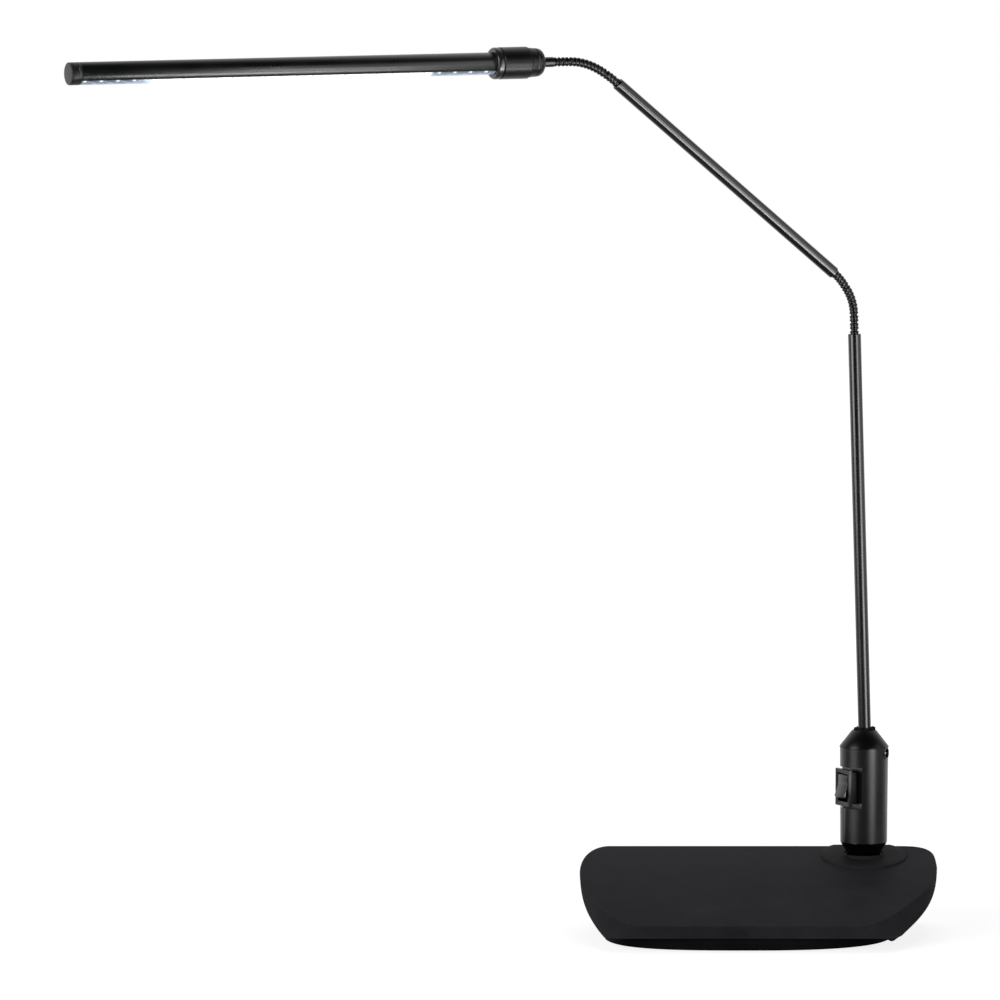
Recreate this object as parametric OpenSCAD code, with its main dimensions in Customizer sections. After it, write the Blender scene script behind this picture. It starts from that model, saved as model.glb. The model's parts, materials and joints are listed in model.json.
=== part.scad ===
// Folding desk lamp with a tubular LED head, two flexible necks and a weighted wedge base.
// Millimetres, +Z up. The origin is on the desk under the middle of the base. The base's long
// side runs along X and its low edge faces -Y. The lamp stands in its working pose.

/* [Base] */
// Half of the base's greatest width
top_half_w = 108.2; // [100:0.1:125]
// Reach of the skirt's rim to the left of the middle
rim_left = 94.6; // [88:0.1:99]
// Reach of the skirt's rim to the right of the middle
rim_right = 85.5; // [82:0.1:99]
// Half of the base's depth
half_depth = 64.35; // [58:0.05:75]
// How far the rim lies in front of the base's back edge
rim_back_inset = 12.1; // [6:0.1:16]
// Height of the gap between the skirt's rim and the desk
rim_z = 8; // [7:0.1:10]
// Front left corner of the rim, across and deep
rim_fl = [13.6, 6]; // [4:0.1:60]
// Front right corner of the rim, across and deep
rim_fr = [11.3, 37.7]; // [4:0.1:60]
// Front left corner at the top, across and deep
top_fl = [48.6, 65]; // [30:0.1:66]
// Front right corner at the top, across and deep
top_fr = [75, 87]; // [50:0.1:90]
// Back left corner, across and deep
back_left = [19.4, 56]; // [10:0.1:58]
// Back right corner, across and deep
back_right = [22.5, 34]; // [10:0.1:40]
// Radius of the crowned top
crown_r = 680; // [400:5:1200]
// Height of the crowned top above the origin
crown_h = 33.7; // [31:0.1:40]
// Slope of the crowned top above the origin, down to the front
crown_slope = 13.25; // [9:0.05:15]
// Wall of the base moulding
shell_wall = 2.6; // [2:0.1:3.2]
// Height of the dark groove between the skirt and the tray
groove_h = 0.5; // [0.3:0.1:1]
// Tray outline: reach to the left of its middle line
tray_left = 87; // [80:0.5:88]
// Tray outline: reach to the right of its middle line
tray_right = 86; // [80:0.5:88]
// Tray outline: reach to the front
tray_front = 63.2; // [58:0.1:63.8]
// Tray outline: reach to the back
tray_back = 51.4; // [46:0.1:52]
// Wall and floor of the tray
tray_wall = 2.4; // [1.8:0.1:3]
// Thickness of the iron ballast plate
ballast_h = 13.6; // [8:0.1:14]
// Ballast plate, across and deep
ballast_size = [116, 88]; // [60:1:118]
// Radius of a rubber foot
foot_r = 7; // [5:0.1:8]
// How far a rubber foot stands out of the tray
foot_out = 0.6; // [0.4:0.1:1]

/* [Swivel] */
// Place of the stem on the base, across and deep
stem_at = [65, 44.15]; // [30:0.05:66]
// Turn of the arm from pointing left, towards the front
arm_turn = 26.5; // [0:0.5:60]
// Radius of the raised round pad
pad_r = 26; // [22:0.5:30]
// Height of the raised round pad above the crowned top
pad_h = 1.2; // [0.8:0.1:2]
// Height of the level seat of the swivel
seat_z = 42.6; // [42:0.1:43.5]
// Radius of the hollow swivel spindle
spindle_r = 5; // [4:0.1:6]
// Bore radius of the swivel spindle
spindle_bore_r = 2.6; // [2:0.1:3]
// Length of the bearing bush below the seat
bush_l = 13; // [10:0.5:15]

/* [Stem] */
// Radius of the stem's foot
foot_cone_r = 9.6; // [8:0.1:11]
// Height of the gloss black cone at the foot
foot_cone_h = 8.7; // [6:0.1:12]
// Housing radius at its lower end
housing_r1 = 14.2; // [13.8:0.1:16]
// Housing radius at its upper end
housing_r2 = 14.7; // [14:0.1:16.5]
// Length of the housing
housing_l = 57.6; // [54:0.1:70]
// Bore radius of the housing
housing_bore_r = 12.4; // [12:0.1:12.6]
// Height of the cone at the top of the stem
top_cone_h = 10.4; // [8:0.1:14]
// Radius of the cone's small end at the top of the stem
top_cone_r = 7.3; // [6.5:0.1:9]
// Radius of the gland that closes the cone round the pole
gland_r = 6.5; // [5.6:0.1:6.6]
// Radius of the pole
pole_r = 3.9; // [3.5:0.05:4.2]
// Wall of the pole
pole_wall = 1; // [0.7:0.05:1.1]
// Lean of the pole towards the arm
pole_lean = 2; // [0:0.1:3]
// Length of pole above the stem's top cone
pole_l = 241; // [150:1:300]
// Length of pole inside the stem
pole_in = 21; // [18:0.5:22]

/* [Switch and power inlet] */
// Distance of the switch recess's floor from the stem axis
recess_x = 8.3; // [8:0.1:10]
// Height of the switch recess
recess_h = 25.2; // [24.4:0.1:28]
// Height of the switch's middle above the housing's lower end
switch_up = 33.5; // [30:0.1:36]
// Outer face of the switch frame from the stem axis
frame_x = 15.1; // [14:0.1:16]
// Thickness of the switch frame
frame_t = 2.2; // [1.6:0.1:2.6]
// Switch frame, across and high
frame_size = [17, 22.5]; // [14:0.1:24]
// Opening for the rocker, across and high
rocker_hole = [12, 17.2]; // [11:0.1:18]
// Turn of the rocker from level, either way
rocker_turn = 12; // [8:0.5:13]
// Height of the power inlet above the housing's lower end
jack_up = 54.4; // [50:0.1:55]
// Radius of the power inlet's flange
jack_r = 3.8; // [3.6:0.1:4]
// Bore radius of the power inlet
jack_bore_r = 2.75; // [2.4:0.05:2.8]
// Radius of the power inlet's contact pin
jack_pin_r = 1; // [0.8:0.05:1.2]
// Turn of the power inlet from the side opposite the arm, towards the front
jack_turn = 51.5; // [0:0.5:60]

/* [Flexible necks] */
// Largest radius of a neck's ribs
neck_r = 2.75; // [2.4:0.05:2.8]
// Radius of the ball that joins two links
ball_r = 2; // [1.8:0.05:2.1]
// Clearance between a ball and its socket
ball_gap = 0.08; // [0.05:0.01:0.15]
// Radius of the wire bore through the necks
neck_bore_r = 1.1; // [0.8:0.05:1.2]
// Rib spacing of the lower neck
low_pitch = 2.31; // [2.25:0.01:2.8]
// Rib spacing of the upper neck
up_pitch = 2.55; // [2.25:0.01:2.8]
// Bend of the lower neck in the working pose
low_bend = 50.16; // [0:0.1:80]
// Bend of the upper neck in the working pose
up_bend = 38.94; // [0:0.1:80]
// Share of that bend at each of a neck's two bending joints
joint_bend = 3; // [0:0.1:4]
// Radius of the arm tube
arm_r = 3.65; // [3.4:0.05:4]
// Wall of the arm tube
arm_wall = 0.9; // [0.7:0.05:0.95]
// Length of the arm tube
arm_l = 186.4; // [120:0.1:260]

/* [Head] */
// Radius of the stub behind the collar
stub_r = 3; // [2.8:0.05:3.3]
// Length of the stub
stub_l = 7.6; // [5:0.1:12]
// Radius of the collar
collar_r = 9.4; // [9:0.1:11]
// Length of the collar sleeve
sleeve_l = 18; // [16:0.1:26]
// Length of the domed rear cap
rear_cap_l = 10; // [9:0.1:13]
// Length of the front ring
front_ring_l = 4; // [3:0.1:6]
// Radius of the lamp tube
lamp_r = 6.5; // [6.2:0.05:7]
// Wall of the lamp tube
lamp_wall = 0.8; // [0.7:0.05:1]
// Length of the lamp tube in sight, end cap left out
lamp_l = 260.5; // [120:0.5:320]
// Length of the end cap in sight
end_cap_l = 6.5; // [4:0.1:10]
// Half of the angle that the clear lens covers
lens_half = 50; // [40:1:60]
// Spacing of the LEDs
led_pitch = 10.1; // [8:0.1:16]
// Clear length between the last LED and the lens's end
led_end = 2; // [1.6:0.1:6]

/* [Fits] */
// Radial clearance of a turning fit
turn_fit = 0.06; // [0.04:0.01:0.1]
// Clearance of pieces that sit in each other without moving
seat_fit = 0.1; // [0.05:0.01:0.2]
// Gap between faces that turn past each other
turn_gap = 0.2; // [0.15:0.05:0.3]

/* [Hidden] */
$fn = 48;
EPS = 0.01;

// The crowned top is part of a large cylinder that lies along X
crown_y = crown_r * sin(crown_slope);
crown_z = crown_h - crown_r * cos(crown_slope);
function crown_at(y, off = 0) = crown_z + sqrt(pow(crown_r + off, 2) - pow(y - crown_y, 2));

// Rings of the base moulding, from its rim to above its back edge
form_top_z = 50.5;
form_levels = 8;
corner_steps = 10;
// How fast the walls and the corners swell from the rim upwards
wall_swell = 4.5;
corner_swell = 3.7;
// Roundness of the corners: 2 is an ellipse, more is squarer
front_roundness = 1.8;
back_left_roundness = 2;
back_right_roundness = 3.2;
rim_back = half_depth - rim_back_inset;
// The front wall leans in a little towards the top
front_lean = 2;

// Tray outline about its own middle line
tray_x = -7;
tray_steps = 12;
tray_left_roundness = 3.1;
tray_right_roundness = 2.4;
tray_top_z = rim_z - groove_h;
tray_floor_z = foot_out + tray_wall;
lip_h = 1.6;
lip_gap = 0.2;

ballast_at = [-12, -2];
ballast_gap = 0.2;
ballast_corner = 10;
ballast_screw_x = 35;
boss_r = 4;
screw_r = 1.5;
pilot_gap = 0.1;
boss_pilot_l = 8;
screw_head_r = 3;
screw_head_h = 1.6;
shell_screws = [[-80, -22], [-78, 28], [66, -22], [64, 14]];
feet = [[0, 0], [-70, -38], [-64, 33], [50, -38], [50, 33]];
foot_deep = 1.2;

// Swivel under the stem
bush_flange_r = 8.2;
bush_flange_t = 1.4;
bush_wall = 1.5;
bush_r = spindle_r + bush_wall;
swivel_boss_r = 10.5;
boss_end_z = seat_z - bush_l;
washer_r = 9;
washer_t = 1;
nut_r = 8.4;
nut_t = 5;
nut_top_z = boss_end_z - washer_t - turn_gap;
spindle_end_z = nut_top_z - nut_t - 2;
socket_ring_w = 1.8;
socket_gap = 0.8;
ring_z = seat_z + 1.2;

// Stem, upwards from its foot
foot_z = seat_z + turn_gap;
housing_z = foot_z + foot_cone_h;
housing_top = housing_z + housing_l;
stem_top = housing_top + top_cone_h;
spigot_l = 5;
top_lip = 0.25;
spindle_in = 7.5;
cone_slope = (housing_r1 - foot_cone_r) / foot_cone_h;
gland_deep = 3;
gland_out = 1.2;
gland_flutes = 10;
pole_nut_r = 7.2;
pole_nut_t = 3.4;
lean_up = 10;

// Switch and power inlet
switch_z = housing_z + switch_up;
recess_wall = 1.5;
switch_wall = 0.7;
switch_end_wall = 1.1;
switch_deep = 16.1;
switch_size = [rocker_hole[0] + 2 * switch_wall, rocker_hole[1] + 2 * switch_end_wall];
switch_back_x = frame_x - frame_t - switch_deep + 2.2;
rocker_x = frame_x - 4.9;
rocker_floor_x = rocker_x - 3.8;
rocker_w = rocker_hole[0] - 0.8;
rocker_pin_r = 1.2;
rocker_pin_l = rocker_w + 1.4;
rocker_back = 2;
rocker_mid = 5;
rocker_end = 6.1;
rocker_end_z = 6.2;
rocker_edge = [5.4, 7.3];
blade = [5.4, 4.8, 0.8];
blade_step = 6.2;
jack_z = housing_z + jack_up;
jack_out = 0.9;
jack_flange_t = 1.2;
jack_barrel_r = jack_r - 0.5;
jack_l = 7.6;
jack_x = housing_r2 + jack_out;
board_size = [1.4, 14.6, 36];
board_x = -9;
board_z = housing_z + spigot_l + turn_gap;
coil_r = 3.6;
coil_h = 3.2;
chip = [1.4, 4, 5];

// Frames of the chain in the arm's plane: reach from the stem axis, height, tilt from upright
function ahead(f, s, turn = 0) = [f[0] + s * sin(f[2]), f[1] + s * cos(f[2]), f[2] + turn];
pole_foot = ahead([0, stem_top + lean_up, pole_lean], -lean_up);
pole_end = ahead(pole_foot, pole_l);

// Ribs of each link and bend after it, from a neck's root to its tip. Each neck bends at two of
// its ball joints, a quarter of its length from either end, and the other links hold their curve.
low_ribs = [1, 2, 2, 2, 2, 2, 2, 2, 2, 1];
low_moving = [2, 6];
up_ribs = [2, 2, 2, 2, 2, 2, 2, 2, 1, 1];
up_moving = [1, 6];
// The lower neck curves a little more towards the pole, the upper one towards the head
low_grow = -0.2;
up_grow = 0.25;
function is_in(i, list) = len([for (k = list) if (k == i) k]) > 0;
function share(i, mid, grow, moving) = is_in(i, moving) ? 0 : 1 + grow * (i - mid) / 3;
function bends(first, total, grow, moving) =
    let (all = [for (i = [first:first + 6]) share(i, first + 3, grow, moving)],
        sum = all * [for (a = all) 1])
    [for (a = all) a == 0 ? joint_bend : (total - 2 * joint_bend) * a / sum];
low_turns = concat([0, 0], bends(2, low_bend, low_grow, low_moving));
up_turns = concat(bends(0, up_bend, up_grow, up_moving), [0, 0]);
rib_r = 0.72;
plug_l = 7;

function chain(f, ribs, turns, pitch, i = 0) =
    i == len(ribs) ? [f] :
    concat([f], chain(ahead(f, ribs[i] * pitch, i < len(turns) ? turns[i] : 0),
        ribs, turns, pitch, i + 1));
low_frames = chain(pole_end, low_ribs, low_turns, low_pitch);
arm_start = low_frames[len(low_ribs)];
arm_end = ahead(arm_start, arm_l);
up_frames = chain(arm_end, up_ribs, up_turns, up_pitch);
stub_start = up_frames[len(up_ribs)];
echo(low_frames = low_frames, up_frames = up_frames, head = stub_start);

// Collar and lamp tube, all measured along the head's axis from the stub's start
stub_wall = 0.6;
stub_flange_r = 3.4;
stub_flange_l = 1;
cap_z = stub_l;
sleeve_z = cap_z + rear_cap_l;
ring_start = sleeve_z + sleeve_l + turn_gap + 0.1;
ring_end = ring_start + front_ring_l;
sleeve_bore_r = lamp_r + 1.5;
sleeve_back = 2.4;
head_spindle_r = 3;
head_bore_r = 1.6;
wave_t = 1;
tube_z = sleeve_z + sleeve_back + wave_t + 1.3;
plug_flange = 0.9;
plug_in = 6;
clip_t = 0.8;
clip_z = sleeve_z - turn_gap - clip_t;
cap_cavity_r = 6;
cap_cavity_l = 4.8;
lamp_bore_r = lamp_r - lamp_wall;
lamp_end = ring_end + lamp_l;
web_t = 1.4;
web_x = 0.4;
board_t = 1;
board_half_w = 4.6;
lens_t = 1;
lens_angle_gap = 1;
led_size = [0.7, 2.8, 3.5];
led_first = ring_end + 3;
led_last = lamp_end - led_end;

module at_stem() {
    translate([stem_at[0], stem_at[1], 0]) rotate([0, 0, 180 + arm_turn]) children();
}

module at_frame(f) {
    at_stem() translate([f[0], 0, f[1]]) rotate([0, f[2], 0]) children();
}

module ring(r_out, r_in, h) {
    difference() {
        cylinder(r = r_out, h = h);
        translate([0, 0, -EPS]) cylinder(r = r_in, h = h + 2 * EPS);
    }
}

// Curve of one corner: quadrant 0 is back right, then counted against the clock
function quarter(c, size, n, q, steps) = [
    for (i = [0:steps])
        let (t = 90 * (q % 2 == 0 ? i : steps - i) / steps,
            u = size[0] * pow(cos(t), 2 / n), v = size[1] * pow(sin(t), 2 / n))
        [c[0] + (q == 0 || q == 3 ? u : -u), c[1] + (q < 2 ? v : -v)]
];

function swell(a, b, t, p) = a + (b - a) * (1 - pow(1 - t, p));
function shrink(size, d) = [max(size[0] - d, 1), max(size[1] - d, 1)];

// Outline of the base moulding at a level from 0 (rim) to 1 (above the back edge)
function form_ring(t, inset) =
    let (l = swell(rim_left, top_half_w, t, wall_swell) - inset,
        r = swell(rim_right, top_half_w, t, wall_swell) - inset,
        f = half_depth - front_lean * t - inset,
        b = swell(rim_back, half_depth, t, wall_swell) - inset,
        fl = shrink(swell(rim_fl, top_fl, t, corner_swell), inset),
        fr = shrink(swell(rim_fr, top_fr, t, corner_swell), inset),
        bl = shrink(back_left, inset), br = shrink(back_right, inset))
    concat(
        quarter([r - br[0], b - br[1]], br, back_right_roundness, 0, corner_steps),
        quarter([bl[0] - l, b - bl[1]], bl, back_left_roundness, 1, corner_steps),
        quarter([fl[0] - l, fl[1] - f], fl, front_roundness, 2, corner_steps),
        quarter([r - fr[0], fr[1] - f], fr, front_roundness, 3, corner_steps));

// Closed solid through rings that all have as many points
module skin(rings, heights) {
    n = len(rings[0]);
    last = len(rings) - 1;
    points = [for (k = [0:last]) for (p = rings[k]) [p[0], p[1], heights[k]]];
    sides = [for (k = [0:last - 1]) for (i = [0:n - 1])
        let (a = k * n + i, b = k * n + (i + 1) % n)
        each [[a, a + n, b + n], [a, b + n, b]]];
    polyhedron(points, concat([[for (i = [0:n - 1]) i]], sides,
        [[for (i = [n - 1:-1:0]) last * n + i]]));
}

module base_form(inset = 0) {
    levels = [for (k = [0:form_levels - 1]) pow(k / (form_levels - 1), 1.8)];
    skin([for (t = levels) form_ring(t, inset)],
        [for (t = levels) rim_z + t * (form_top_z - rim_z)]);
}

module under_crown(off) {
    translate([0, crown_y, crown_z]) rotate([0, 90, 0])
        cylinder(r = crown_r + off, h = 4 * top_half_w, center = true, $fn = 360);
}

module tray_outline(inset) {
    l = tray_left - inset;
    r = tray_right - inset;
    f = tray_front - inset;
    b = tray_back - inset;
    translate([tray_x, 0]) polygon(concat(
        quarter([0, 0], [r, b], tray_right_roundness, 0, tray_steps),
        quarter([0, 0], [l, b], tray_left_roundness, 1, tray_steps),
        quarter([0, 0], [l, f], tray_left_roundness, 2, tray_steps),
        quarter([0, 0], [r, f], tray_right_roundness, 3, tray_steps)));
}

module base_shell() {
    color("#2b2b2d") difference() {
        union() {
            intersection() {
                base_form();
                union() {
                    under_crown(0);
                    intersection() {
                        under_crown(pad_h);
                        translate(stem_at) cylinder(r = pad_r, h = 2 * form_top_z);
                    }
                }
            }
            // Level ring round the stem's foot
            translate([stem_at[0], stem_at[1], seat_z - 4])
                cylinder(r = foot_cone_r + socket_gap + socket_ring_w, h = ring_z - seat_z + 4);
        }
        // Open below, apart from the bosses for the screws and the swivel
        difference() {
            union() {
                intersection() {
                    base_form(shell_wall);
                    under_crown(-shell_wall);
                }
                translate([0, 0, rim_z - 1]) linear_extrude(1 + EPS)
                    polygon(form_ring(0, shell_wall));
            }
            for (p = shell_screws) translate([p[0], p[1], rim_z]) cylinder(r = boss_r, h = form_top_z);
            translate([stem_at[0], stem_at[1], boss_end_z])
                cylinder(r = swivel_boss_r, h = form_top_z);
        }
        for (p = shell_screws) translate([p[0], p[1], rim_z - 1])
            cylinder(r = screw_r + pilot_gap, h = boss_pilot_l + 1);
        translate([stem_at[0], stem_at[1], 0]) {
            translate([0, 0, boss_end_z - 1]) cylinder(r = bush_r + seat_fit, h = form_top_z);
            translate([0, 0, seat_z - bush_flange_t]) {
                cylinder(r = bush_flange_r + seat_fit, h = form_top_z);
            }
            // Room for the cone to turn in
            translate([0, 0, seat_z]) cylinder(r1 = foot_cone_r + socket_gap,
                r2 = foot_cone_r + socket_gap + cone_slope * foot_cone_h, h = foot_cone_h);
        }
    }
}

module base_tray() {
    color("#1c1c1e") difference() {
        union() {
            translate([0, 0, foot_out]) linear_extrude(tray_top_z - foot_out) tray_outline(0);
            // Flange that closes the moulding from below, with a lip that keeps inside its wall
            translate([0, 0, tray_top_z - EPS]) linear_extrude(groove_h + 2 * EPS)
                polygon(form_ring(0, shell_wall + lip_gap));
            intersection() {
                base_form(shell_wall + lip_gap);
                translate([0, 0, rim_z - 1]) linear_extrude(lip_h + 1)
                    polygon(form_ring(0, shell_wall + lip_gap));
            }
        }
        difference() {
            translate([0, 0, tray_floor_z]) linear_extrude(form_top_z) tray_outline(tray_wall + 2);
            for (p = shell_screws) translate([p[0], p[1], 0]) cylinder(r = boss_r, h = rim_z);
        }
        // The screw bosses of the moulding stand on those of the tray
        for (p = shell_screws) translate([p[0], p[1], rim_z]) cylinder(r = boss_r + seat_fit,
            h = form_top_z);
        for (p = shell_screws) translate([p[0], p[1], foot_out]) screw_cut(form_top_z);
        for (p = ballast_screw_at()) translate([p[0], p[1], foot_out]) screw_cut(form_top_z);
        for (p = feet) translate([p[0], p[1], 0]) cylinder(r = foot_r + seat_fit,
            h = foot_out + foot_deep);
    }
}

function ballast_screw_at() = [for (s = [-1, 1]) [ballast_at[0] + s * ballast_screw_x, ballast_at[1]]];

module screw_cut(h) {
    translate([0, 0, -EPS]) {
        cylinder(r = screw_r + pilot_gap, h = h);
        cylinder(r = screw_head_r + seat_fit, h = screw_head_h + EPS);
    }
}

module screw(l) {
    difference() {
        union() {
            cylinder(r = screw_head_r, h = screw_head_h);
            cylinder(r = screw_r, h = l);
        }
        translate([0, 0, -EPS]) cylinder(r = 1.3, h = 1, $fn = 6);
    }
}

module ballast_weight() {
    color("#4a4a4a") difference() {
        translate([ballast_at[0], ballast_at[1], tray_floor_z + ballast_gap / 2])
            linear_extrude(ballast_h) offset(r = ballast_corner, $fn = 24)
                square(ballast_size - [2, 2] * ballast_corner, center = true);
        for (p = ballast_screw_at()) translate([p[0], p[1], 0]) cylinder(r = screw_r + pilot_gap, h = 14);
    }
}

module ballast_screws() {
    color("#9a9a9a") for (p = ballast_screw_at()) translate([p[0], p[1], foot_out]) screw(10);
}

module base_screws() {
    color("#9a9a9a") for (p = shell_screws) translate([p[0], p[1], foot_out]) screw(13);
}

module rubber_feet() {
    color("#141414") for (p = feet) translate([p[0], p[1], 0])
        rotate_extrude() polygon([[0, 0], [foot_r - 0.6, 0], [foot_r, 0.5],
            [foot_r, foot_out + foot_deep - seat_fit], [0, foot_out + foot_deep - seat_fit]]);
}

module swivel_bush() {
    color("#d8d4c8") translate([stem_at[0], stem_at[1], 0]) difference() {
        union() {
            translate([0, 0, seat_z - bush_flange_t]) cylinder(r = bush_flange_r, h = bush_flange_t);
            translate([0, 0, boss_end_z]) cylinder(r = bush_r, h = bush_l - EPS);
        }
        cylinder(r = spindle_r + turn_fit, h = form_top_z);
    }
}

module friction_washer() {
    color("#b8b8b8") translate([stem_at[0], stem_at[1], boss_end_z - washer_t])
        ring(washer_r, spindle_r + turn_fit, washer_t);
}

module swivel_spindle() {
    color("#a8a8a8") at_stem() translate([0, 0, spindle_end_z])
        ring(spindle_r, spindle_bore_r, foot_z + spindle_in - spindle_end_z);
}

module spindle_nut() {
    color("#b0b0b0") at_stem() translate([0, 0, nut_top_z - nut_t]) difference() {
        cylinder(r = nut_r, h = nut_t, $fn = 6);
        translate([0, 0, -EPS]) cylinder(r = spindle_r + 0.02, h = nut_t + 1);
    }
}

module lower_cone() {
    color("#0c0c0d") at_stem() translate([0, 0, foot_z]) difference() {
        union() {
            cylinder(r1 = foot_cone_r, r2 = housing_r1, h = foot_cone_h);
            cylinder(r = housing_bore_r - seat_fit, h = foot_cone_h + spigot_l);
        }
        // The spigot narrows inside the cone
        difference() {
            translate([0, 0, -EPS]) cylinder(r = housing_r1 + 1, h = foot_cone_h);
            translate([0, 0, -EPS]) cylinder(r1 = foot_cone_r, r2 = housing_r1, h = foot_cone_h + EPS);
        }
        translate([0, 0, -EPS]) cylinder(r = spindle_r + 0.02, h = spindle_in + EPS + seat_fit);
        cylinder(r = spindle_bore_r, h = foot_cone_h + spigot_l + 1);
        // The spigot is open for the board and its wires
        translate([0, 0, foot_cone_h + 1]) cylinder(r = housing_bore_r - 2.5, h = spigot_l);
    }
}

module housing_outer() {
    translate([0, 0, housing_z]) cylinder(r1 = housing_r1, r2 = housing_r2, h = housing_l, $fn = 96);
}

module slab(x1, x2, w, z1, z2) {
    translate([x1, -w / 2, z1]) cube([x2 - x1, w, z2 - z1]);
}

// Inlet frame inside the stem's: its mouth is at the origin and +Z points out
module inlet_frame() {
    rotate([0, 0, 180 - jack_turn]) translate([jack_x, 0, jack_z]) rotate([0, 90, 0]) children();
}

module inlet_cut() {
    inlet_frame() {
        translate([0, 0, -jack_x + 4]) cylinder(r = jack_barrel_r + seat_fit, h = jack_x);
        translate([0, 0, -jack_flange_t]) cylinder(r = jack_r + seat_fit, h = 10);
    }
}

module stem_housing() {
    z1 = switch_z - recess_h / 2;
    z2 = switch_z + recess_h / 2;
    wide = 3 * housing_r2;
    color("#222326") at_stem() difference() {
        union() {
            difference() {
                housing_outer();
                translate([0, 0, housing_z - 1]) cylinder(r = housing_bore_r, h = housing_l + 2);
            }
            intersection() {
                housing_outer();
                slab(recess_x - recess_wall, wide, wide, z1 - recess_wall, z2 + recess_wall);
            }
        }
        slab(recess_x, wide, wide, z1, z2);
        slab(0, wide, switch_size[0] + 2 * seat_fit, switch_z - switch_size[1] / 2 - seat_fit,
            switch_z + switch_size[1] / 2 + seat_fit);
        inlet_cut();
    }
}

module upper_cone() {
    color("#262628") difference() {
        at_stem() difference() {
            union() {
                translate([0, 0, housing_top]) cylinder(r1 = housing_r2 + top_lip, r2 = top_cone_r,
                    h = top_cone_h);
                translate([0, 0, housing_top - spigot_l]) cylinder(r = housing_bore_r - seat_fit,
                    h = spigot_l + EPS);
            }
            // Room for the power inlet
            inlet_cut();
            rotate([0, 0, 180 - jack_turn]) slab(jack_x - jack_l - 1, 2 * housing_r2,
                2 * jack_barrel_r + 1, housing_top - spigot_l - 1, jack_z);
        }
        at_frame(pole_foot) {
            translate([0, 0, -30]) cylinder(r = pole_r + seat_fit, h = 60);
            translate([0, 0, -gland_deep]) cylinder(r = gland_r + seat_fit, h = 10);
        }
        // Pocket that keeps the nut from turning
        at_frame(pole_foot) translate([0, 0, -top_cone_h - spigot_l - 5])
            cylinder(r = pole_nut_r + seat_fit, h = 5 + spigot_l, $fn = 6);
    }
}

module pole_gland() {
    color("#101010") at_frame(pole_foot) difference() {
        union() {
            translate([0, 0, -gland_deep + seat_fit]) cylinder(r = gland_r, h = gland_deep);
            cylinder(r1 = gland_r, r2 = gland_r - 1.4, h = gland_out);
        }
        translate([0, 0, -gland_deep]) cylinder(r = pole_r + 0.02, h = gland_deep + gland_out + 1);
        for (i = [0:gland_flutes - 1]) rotate([0, 0, 360 * i / gland_flutes])
            translate([gland_r + 0.2, 0, 0.2]) cylinder(r = 0.9, h = 5, $fn = 16);
    }
}

module pole_nut() {
    color("#b0b0b0") at_frame(pole_foot) difference() {
        translate([0, 0, -top_cone_h - seat_fit - pole_nut_t]) cylinder(r = pole_nut_r,
            h = pole_nut_t, $fn = 6);
        translate([0, 0, -30]) cylinder(r = pole_r + 0.02, h = 30);
    }
}

module pole() {
    color("#151515") at_frame(pole_foot) translate([0, 0, -pole_in])
        ring(pole_r, pole_r - pole_wall, pole_in + pole_l);
}

module switch_frame() {
    w = frame_size[0];
    h = frame_size[1];
    color("#19191a") at_stem() difference() {
        translate([frame_x - frame_t, 0, switch_z]) rotate([90, 0, 90]) linear_extrude(frame_t)
            offset(r = 1, $fn = 16) square([w - 2, h - 2], center = true);
        slab(0, 30, rocker_hole[0], switch_z - rocker_hole[1] / 2, switch_z + rocker_hole[1] / 2);
        // Shallow step round the opening
        slab(frame_x - 0.5, 30, rocker_hole[0] + 1.6, switch_z - rocker_hole[1] / 2 - 0.8,
            switch_z + rocker_hole[1] / 2 + 0.8);
    }
}

module switch_body() {
    color("#1a1a1a") at_stem() difference() {
        slab(switch_back_x, frame_x - frame_t, switch_size[0], switch_z - switch_size[1] / 2,
            switch_z + switch_size[1] / 2);
        slab(rocker_floor_x, 30, rocker_hole[0], switch_z - rocker_hole[1] / 2,
            switch_z + rocker_hole[1] / 2);
        translate([rocker_x, 0, switch_z]) rotate([90, 0, 0])
            cylinder(r = rocker_pin_r + turn_fit, h = 30, center = true);
    }
}

module switch_terminals() {
    color("#c9b06a") at_stem() for (z = [-blade_step / 2, blade_step / 2])
        translate([switch_back_x - blade[0], -blade[1] / 2, switch_z + z - blade[2] / 2]) cube(blade);
}

module rocker() {
    color("#1c1c1d") at_stem() translate([rocker_x, 0, switch_z]) rotate([0, -rocker_turn, 0])
        rotate([90, 0, 0]) union() {
            linear_extrude(rocker_w, center = true) polygon([
                [-rocker_back, -rocker_edge[1] + 0.3], [rocker_edge[0], -rocker_edge[1]],
                [rocker_end, -rocker_end_z], [rocker_mid, 0], [rocker_end, rocker_end_z],
                [rocker_edge[0], rocker_edge[1]], [-rocker_back, rocker_edge[1] - 0.3]]);
            cylinder(r = rocker_pin_r, h = rocker_pin_l, center = true);
        }
}

module power_inlet() {
    color("#161616") at_stem() inlet_frame() difference() {
        union() {
            translate([0, 0, seat_fit - jack_flange_t]) cylinder(r = jack_r, h = jack_flange_t - seat_fit);
            translate([0, 0, -jack_l]) cylinder(r = jack_barrel_r, h = jack_l);
        }
        translate([0, 0, 1.5 - jack_l]) cylinder(r = jack_bore_r, h = jack_l);
    }
}

module inlet_pin() {
    color("#d0d0d0") at_stem() inlet_frame() translate([0, 0, 1.5 - jack_l])
        cylinder(r = jack_pin_r, h = jack_l - 2.5);
}

module driver_board() {
    color("#1f5a35") at_stem() translate([board_x, -board_size[1] / 2, board_z]) cube(board_size);
}

module driver_parts() {
    color("#2a2a2a") at_stem() translate([board_x + board_size[0], 0, board_z]) {
        translate([0, 0, 8]) rotate([0, 90, 0]) cylinder(r = coil_r, h = coil_h);
        translate([0, -chip[1] / 2, 14]) cube(chip);
    }
}

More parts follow.
